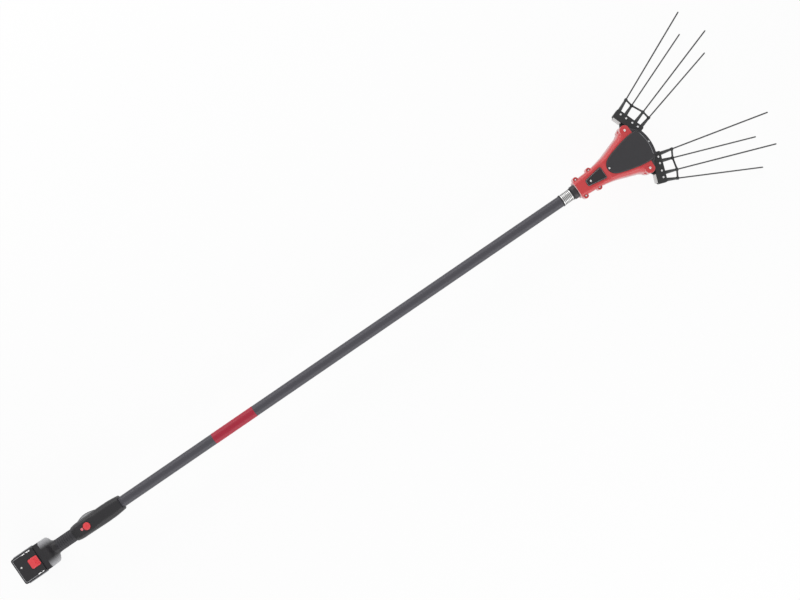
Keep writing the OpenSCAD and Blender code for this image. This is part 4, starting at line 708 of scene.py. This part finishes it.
# Bearings in degrees at which a hub starts to narrow, and over how many, on its outer and its inner side.
outer_from, outer_ramp, inner_from, inner_ramp = 72, 12, 126, 20
for side, sign in (("left", 1), ("right", -1)):
    arm = dressed(side + "_arm", arm_black, 0.5)
    for vert in arm.data.vertices:
        out = Vector((vert.co.x - pivot_x, vert.co.y - sign * pivot_y))
        bearing = math.degrees(math.atan2(sign * out.y, out.x))
        if rim_least < out.length < rim_most:
            share = (bearing - outer_from) / outer_ramp if bearing > 0 else (-bearing - inner_from) / inner_ramp
            keep = 1 - (1 - hub_rear_r / hub_r) * min(max(share, 0), 1)
            vert.co.x, vert.co.y = pivot_x + out.x * keep, sign * pivot_y + out.y * keep
    along = Vector((math.cos(splay), sign * math.sin(splay), 0))
    out = Vector((-math.sin(splay), sign * math.cos(splay), 0))
    hub = Vector((pivot_x, sign * pivot_y, axis_z))
    shape = bmesh.new()
    middle = hub + along * (strip_back - strip_t / 2) + out * strip_side
    loft(shape, [rounded_ring(middle + z_axis * z, along, out, strip_t / 2 - inset, strip_half - inset, 0.0016)
                 for z, inset in ((-0.0100, 0.0008), (-0.0094, 0), (0.0094, 0), (0.0100, 0.0008))])
    settle(made(side + "_strip", shape, aluminium), side + "_rake", "bare_aluminium")

# Shoulder cheeks: thin red ABS walls of the shells round the rear of each hub.
# They are moulded with the shells, meet on the split and keep leaves out of the mouths.
# They start behind the arm's flank as it stands at the end of its outward swing.
cheek_r, cheek_in, cheek_low, cheek_high = 0.0135, 0.0117, axis_z - 0.0152, axis_z + 0.0152
cheek_from, cheek_to, cheek_steps, cheek_gap = 104, 188, 20, 0.00015
join_from, join_span, join_r = 132, 32, 0.0172
shape = bmesh.new()
for sign in (1, -1):
    for low, high in ((cheek_low, axis_z - cheek_gap), (axis_z + cheek_gap, cheek_high)):
        rings = []
        for i in range(cheek_steps + 1):
            a = math.radians(cheek_from + (cheek_to - cheek_from) * i / cheek_steps)
            out = Vector((math.cos(a), sign * math.sin(a), 0))
            join = min(max((math.degrees(a) - join_from) / join_span, 0), 1)
            outer = cheek_r + (join_r - cheek_r) * join * join * (3 - 2 * join)
            centre = Vector((pivot_x, sign * pivot_y, (low + high) / 2))
            middle = centre + out * (outer - cheek_in) / 2 + out * cheek_in
            rings.append(rounded_ring(middle, out, z_axis, (outer - cheek_in) / 2, (high - low) / 2, 0.0004, 3))
        loft(shape, rings)
settle(made("shoulder_cheeks", shape, red_abs), "frame", node_slot["upper_shell"])

# Tine carriers: glass-filled nylon blocks screwed to the arms.
# The filled nylon is dull black, with a slight fibre mottle.
filled_nylon = finish("glass-filled nylon", "#353637", "#303132", 0.46, 0.5, 0.2, worn="#626466", gloss=0.32)
for carrier in ("left_carrier", "right_carrier"):
    dressed(carrier, filled_nylon, 0.9, 3)

# Tines, sleeves and braces: thin pultruded rods, each in a tapered nylon sleeve.
# The sleeves stand in the carrier, and a moulded zigzag brace ties the four of them.
rod = finish("pultruded rod", "#3d3d3e", "#363637", 0.38, 0.4, 0.15, coat=0.1, stretch=(0.1, 1, 1))


def islands(node):
    """The points of each separate solid of a CAD node, in the order of the mesh, so that each run gives the same."""
    shape = bmesh.new()
    shape.from_mesh(frame["nodes"][node].data)
    bmesh.ops.remove_doubles(shape, verts=shape.verts, dist=2e-6)
    left, found = set(shape.verts), []
    for first in shape.verts:
        if first not in left:
            continue
        left.discard(first)
        queue, group = [first], []
        while queue:
            vert = queue.pop()
            group.append(vert.co.copy())
            for side in vert.link_edges:
                other = side.other_vert(vert)
                if other in left:
                    left.discard(other)
                    queue.append(other)
        found.append(group)
    shape.free()
    return found


def ends(points):
    """The two ends of a straight rod, the rear one first."""
    middle = sum(points, Vector()) / len(points)
    along = (max(points, key=lambda p: (p - middle).length) - middle).normalized()
    reach = [(p - middle).dot(along) for p in points]
    tips = []
    for limit in (min(reach), max(reach)):
        near = [p for p, r in zip(points, reach) if abs(r - limit) < 0.004]
        tips.append(sum(near, Vector()) / len(near))
    return sorted(tips, key=lambda p: p.x)


sleeve_nylon = finish("drawn sleeve nylon", "#434445", "#3c3d3e", 0.42, 0.5, 0.15, gloss=0.4)
tine_r = 0.0019
sleeve_r_root, sleeve_r_end = 0.0047, 0.0030
brace_share, bar_r, bar_slim_r = 0.923, 0.0028, 0.0025
for side in ("left", "right"):
    tines = []
    for points in islands(side + "_tines"):
        rear, tip = ends(points)
        along = (tip - rear).normalized()
        tines.append([(rear, tine_r), (tip - along * 0.0025, tine_r), (tip - along * 0.001, tine_r * 0.85),
                      (tip - along * 0.0003, tine_r * 0.6), (tip, tine_r * 0.3)])
    settle(rods(side + "_tine_rods", tines, rod, 12), side + "_rake", "tine_rod", side + "_tines")
    sleeves, knots = [], []
    for points in islands(side + "_sleeves"):
        rear, front = ends(points)
        along = (front - rear).normalized()
        span = (front - rear).length
        sleeves.append([(rear, sleeve_r_root), (rear + along * span * 0.3, sleeve_r_root),
                        (front - along * 0.0015, sleeve_r_end), (front - along * 0.0005, sleeve_r_end * 0.93),
                        (front, sleeve_r_end * 0.8)])
        knots.append((rear + along * span * brace_share, along))
    settle(rods(side + "_sleeve_cones", sleeves, sleeve_nylon, 16), side + "_rake", "carrier_black",
           side + "_sleeves")
    knots.sort(key=lambda knot: knot[0].y)
    brace = []
    for (one, _), (two, _) in zip(knots, knots[1:]):
        brace.append([(one, bar_r), (one.lerp(two, 0.25), bar_slim_r), (one.lerp(two, 0.75), bar_slim_r),
                      (two, bar_r)])
    for place, along in knots:
        brace.append([(place + along * step, r) for step, r in
                      ((-0.0042, 0.0034), (-0.0036, 0.0042), (0.0025, 0.0042), (0.0032, 0.0034))])
    settle(rods(side + "_brace_bars", brace, filled_nylon, 16), side + "_rake", "carrier_black", side + "_brace")

# Covers: a satin dark ABS cover in the middle of the head, its nose trim and the black neck insert.
# Each is clipped in and held by one or two screws from above.
head_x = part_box("upper_shell")[0].x
cover_low, cover_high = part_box("centre_cover")
cover_rows = [(0.0930, 0.0042), (0.0949, 0.0089), (0.0986, 0.0149), (0.1042, 0.0199), (0.1117, 0.0239),
              (0.1229, 0.0280), (0.1428, 0.0335), (0.1627, 0.0385), (0.1801, 0.0415), (0.1963, 0.0430),
              (0.2045, 0.0426), (0.2090, 0.0410), (0.2118, 0.0380), (0.2135, 0.0335)]
nose_r, nose_x = 0.1038, 0.1137
cover_rows += [(nose_x + nose_r * math.cos(a), nose_r * math.sin(a))
               for a in (math.radians(19 * share) for share in (0.7, 0.46, 0.24, 0.08))]


def cover_ring(x, half):
    """One cross-section of the cover: a flat base, round shoulders and a low crown."""
    soft, tall = min(0.0034, half * 0.6), cover_high.z - cover_low.z
    left = [(half, 0), (half, 0.0008)]
    left += [(half - soft * (1 - math.cos(a)), 0.0008 + (tall - 0.0013) * math.sin(a))
             for a in (math.pi / 2 * k / 5 for k in range(1, 6))]
    left += [((half - soft) * (1 - k / 6), tall - 0.0005 + 0.0005 * (1 - (1 - k / 6) ** 2)) for k in range(1, 6)]
    ring = left + [(0, tall)] + [(-y, z) for y, z in reversed(left)]
    return [Vector((head_x + x, y, cover_low.z + z)) for y, z in ring]


shape = bmesh.new()
loft(shape, [cover_ring(x, half) for x, half in smoothed(cover_rows, 3)])
cover = made("head_cover", shape, cover_abs, angle=50)
tip = head_x + 0.0972
carved(cover, peg(Vector((tip, 0, cover_high.z - 0.0016)), z_axis, 0.0036, 0.01), angle=50)
settle(cover, "frame", "dark_cover", "centre_cover")
dressed("nose_trim", cover_abs, 0.5)
# A thin pale grey line where the nose trim meets the cover is a painted highlight on that edge.
nose_highlight_path = [(head_x + nose_x + (nose_r + 0.0003) * math.cos(a), (nose_r + 0.0003) * math.sin(a))
        for a in (math.radians(-18.5 + 37 * i / 36) for i in range(37))]
settle(rods("nose_seam", [[(Vector((x, y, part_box("nose_trim")[1].z - 0.0001)), 0.0005) for x, y in nose_highlight_path]],
            grey_abs_and_painted_highlights, 8), "frame", "dark_cover")
# A black line round the foot of the cover is a painted shadow in the gap between the cover and the red shell.
cover_gap_path = [(head_x + x, half) for x, half in smoothed(cover_rows, 3)]
cover_gap_path += [(x, -half) for x, half in reversed(cover_gap_path)]
settle(rods("cover_gasket", [[(Vector((x, y, cover_low.z + 0.0002)), 0.0009) for x, y in cover_gap_path + cover_gap_path[:1]]],
            gloss_black_and_gap_shadow, 8), "frame", "black_plastic")
neck_low, neck_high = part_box("neck_cover")
dressed("neck_cover", black_nylon, 1.3, 3)
# A thin pale grey line just inside the edge of the neck insert is a painted highlight on its rounded edge.
neck_line_inset, neck_rear = 0.0016, 0.00925
neck_highlight_path = [(neck_low.x + neck_line_inset, neck_rear - neck_line_inset), (neck_high.x - neck_line_inset, neck_high.y - neck_line_inset)]
neck_highlight_path += [(x, -y) for x, y in reversed(neck_highlight_path)]
settle(rods("neck_bead", [[(Vector((x, y, neck_high.z - 0.0002)), 0.0005) for x, y in neck_highlight_path + neck_highlight_path[:1]]],
            grey_abs_and_painted_highlights, 8), "frame", "grey_plastic")

# Screws: zinc plated steel screws with a round head and a hexagon socket.
# Each is turned to its own angle, as screws are after tightening.
socket_size, head_share = 0.52, 0.88
shape = bmesh.new()
turn = [2 * math.pi * i / 24 for i in range(24)]
hexagon = [math.cos(math.pi / 6) / math.cos((a + math.pi / 6) % (math.pi / 3) - math.pi / 6) for a in turn]
loft(shape, [[Vector((math.cos(a) * (r if not hexed else r * h), math.sin(a) * (r if not hexed else r * h), z))
              for a, h in zip(turn, hexagon)]
             for r, z, hexed in ((0.96, 0, False), (1, 0.05, False), (1, 0.6, False), (0.94, 0.82, False),
                                 (0.82, 0.96, False), (0.68, 1, False), (socket_size, 1, True),
                                 (socket_size - 0.03, 0.94, True), (socket_size - 0.03, 0.4, True))])
screw_head = made("screw head pattern", shape, zinc, angle=30)
bpy.context.scene.collection.objects.unlink(screw_head)

tree = bpy.data.node_groups.new("seated screws", "GeometryNodeTree")
tree.interface.new_socket("Geometry", in_out="INPUT", socket_type="NodeSocketGeometry")
head_in = tree.interface.new_socket("Head", in_out="INPUT", socket_type="NodeSocketObject")
seed_in = tree.interface.new_socket("Seed", in_out="INPUT", socket_type="NodeSocketInt")
finish_in = tree.interface.new_socket("Finish", in_out="INPUT", socket_type="NodeSocketMaterial")
tree.interface.new_socket("Geometry", in_out="OUTPUT", socket_type="NodeSocketGeometry")
given = add(tree, "NodeGroupInput")
axis = add(tree, "GeometryNodeInputNamedAttribute", {"data_type": "FLOAT_VECTOR"}, {"Name": "screw_axis"})
head_size = add(tree, "GeometryNodeInputNamedAttribute", {"data_type": "FLOAT_VECTOR"}, {"Name": "head_size"})
shank_size = add(tree, "GeometryNodeInputNamedAttribute", {"data_type": "FLOAT_VECTOR"}, {"Name": "shank_size"})
upright = add(tree, "FunctionNodeAlignRotationToVector", {"axis": "Z"}, links={"Vector": axis.outputs[0]})
angle = add(tree, "FunctionNodeRandomValue", {"data_type": "FLOAT"}, {3: 2 * math.pi}, {8: given.outputs["Seed"]})
spin = add(tree, "FunctionNodeAxisAngleToRotation", values={"Axis": (0, 0, 1)}, links={"Angle": angle.outputs[1]})
tight = add(tree, "FunctionNodeRotateRotation", {"rotation_space": "LOCAL"},
            links={"Rotation": upright.outputs[0], "Rotate By": spin.outputs[0]})
head = add(tree, "GeometryNodeObjectInfo", links={"Object": given.outputs["Head"]})
heads = add(tree, "GeometryNodeInstanceOnPoints",
            links={"Points": given.outputs["Geometry"], "Instance": head.outputs["Geometry"],
                   "Rotation": tight.outputs[0], "Scale": head_size.outputs[0]})
shank = add(tree, "GeometryNodeMeshCylinder", values={"Vertices": 16, "Radius": 1.0, "Depth": 1.0})
hung = add(tree, "GeometryNodeTransform", values={"Translation": (0, 0, -0.5)}, links={"Geometry": shank.outputs[0]})
shanks = add(tree, "GeometryNodeInstanceOnPoints",
             links={"Points": given.outputs["Geometry"], "Instance": hung.outputs[0],
                    "Rotation": tight.outputs[0], "Scale": shank_size.outputs[0]})
both = add(tree, "GeometryNodeJoinGeometry")
for part in (shanks, heads):
    tree.links.new(part.outputs[0], both.inputs[0])
whole = add(tree, "GeometryNodeRealizeInstances", links={"Geometry": both.outputs[0]})
painted = add(tree, "GeometryNodeSetMaterial",
              links={"Geometry": whole.outputs[0], "Material": given.outputs["Finish"]})
add(tree, "NodeGroupOutput", links={0: painted.outputs[0]})

screw_groups = ("handle_screws", "battery_screws", "head_screws", "cover_screws", "pivot_screws",
                "left_carrier_screws", "right_carrier_screws")
small_heads = {"head_screws": 0.72, "pivot_screws": 0.7}
for seed, node in enumerate(screw_groups):
    share = small_heads.get(node, head_share)
    seats = []
    for points in islands(node):
        low = Vector(min(p[i] for p in points) for i in range(3))
        high = Vector(max(p[i] for p in points) for i in range(3))
        sizes = sorted((high[i] - low[i], i) for i in range(3))
        long = sizes[2][1] if sizes[1][0] - sizes[0][0] < sizes[2][0] - sizes[1][0] else sizes[0][1]
        middle = (low + high) / 2
        flat = [i for i in range(3) if i != long]
        away = [math.hypot(p[flat[0]] - middle[flat[0]], p[flat[1]] - middle[flat[1]]) for p in points]
        wide = [p[long] for p, r in zip(points, away) if r > max(away) * 0.9]
        up = 1 if max(wide) > middle[long] and abs(max(wide) - high[long]) < 1e-5 else -1
        seat = middle.copy()
        seat[long] = min(wide) if up > 0 else max(wide)
        direction = Vector((0, 0, 0))
        direction[long] = up
        head_h = max(wide) - min(wide)
        thin = min(r for r in away if r > 0.0005)
        seats.append((seat, direction, (max(away) * share, max(away) * share, head_h),
                      (thin, thin, max(high[long] - low[long] - head_h, 0.0005))))
    mesh = bpy.data.meshes.new(node + "_seated")
    mesh.from_pydata([seat[0] for seat in seats], [], [])
    for name, column in (("screw_axis", 1), ("head_size", 2), ("shank_size", 3)):
        rows = mesh.attributes.new(name, "FLOAT_VECTOR", "POINT")
        for i, seat in enumerate(seats):
            rows.data[i].vector = seat[column]
    piece = bpy.data.objects.new(node + "_seated", mesh)
    bpy.context.scene.collection.objects.link(piece)
    grow = piece.modifiers.new("screws", "NODES")
    grow.node_group = tree
    grow[head_in.identifier] = screw_head
    grow[seed_in.identifier] = seed
    grow[finish_in.identifier] = zinc
    settle(grown(piece, 30), frame["nodes"][node]["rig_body"], "steel", node)
bpy.data.objects.remove(screw_head)
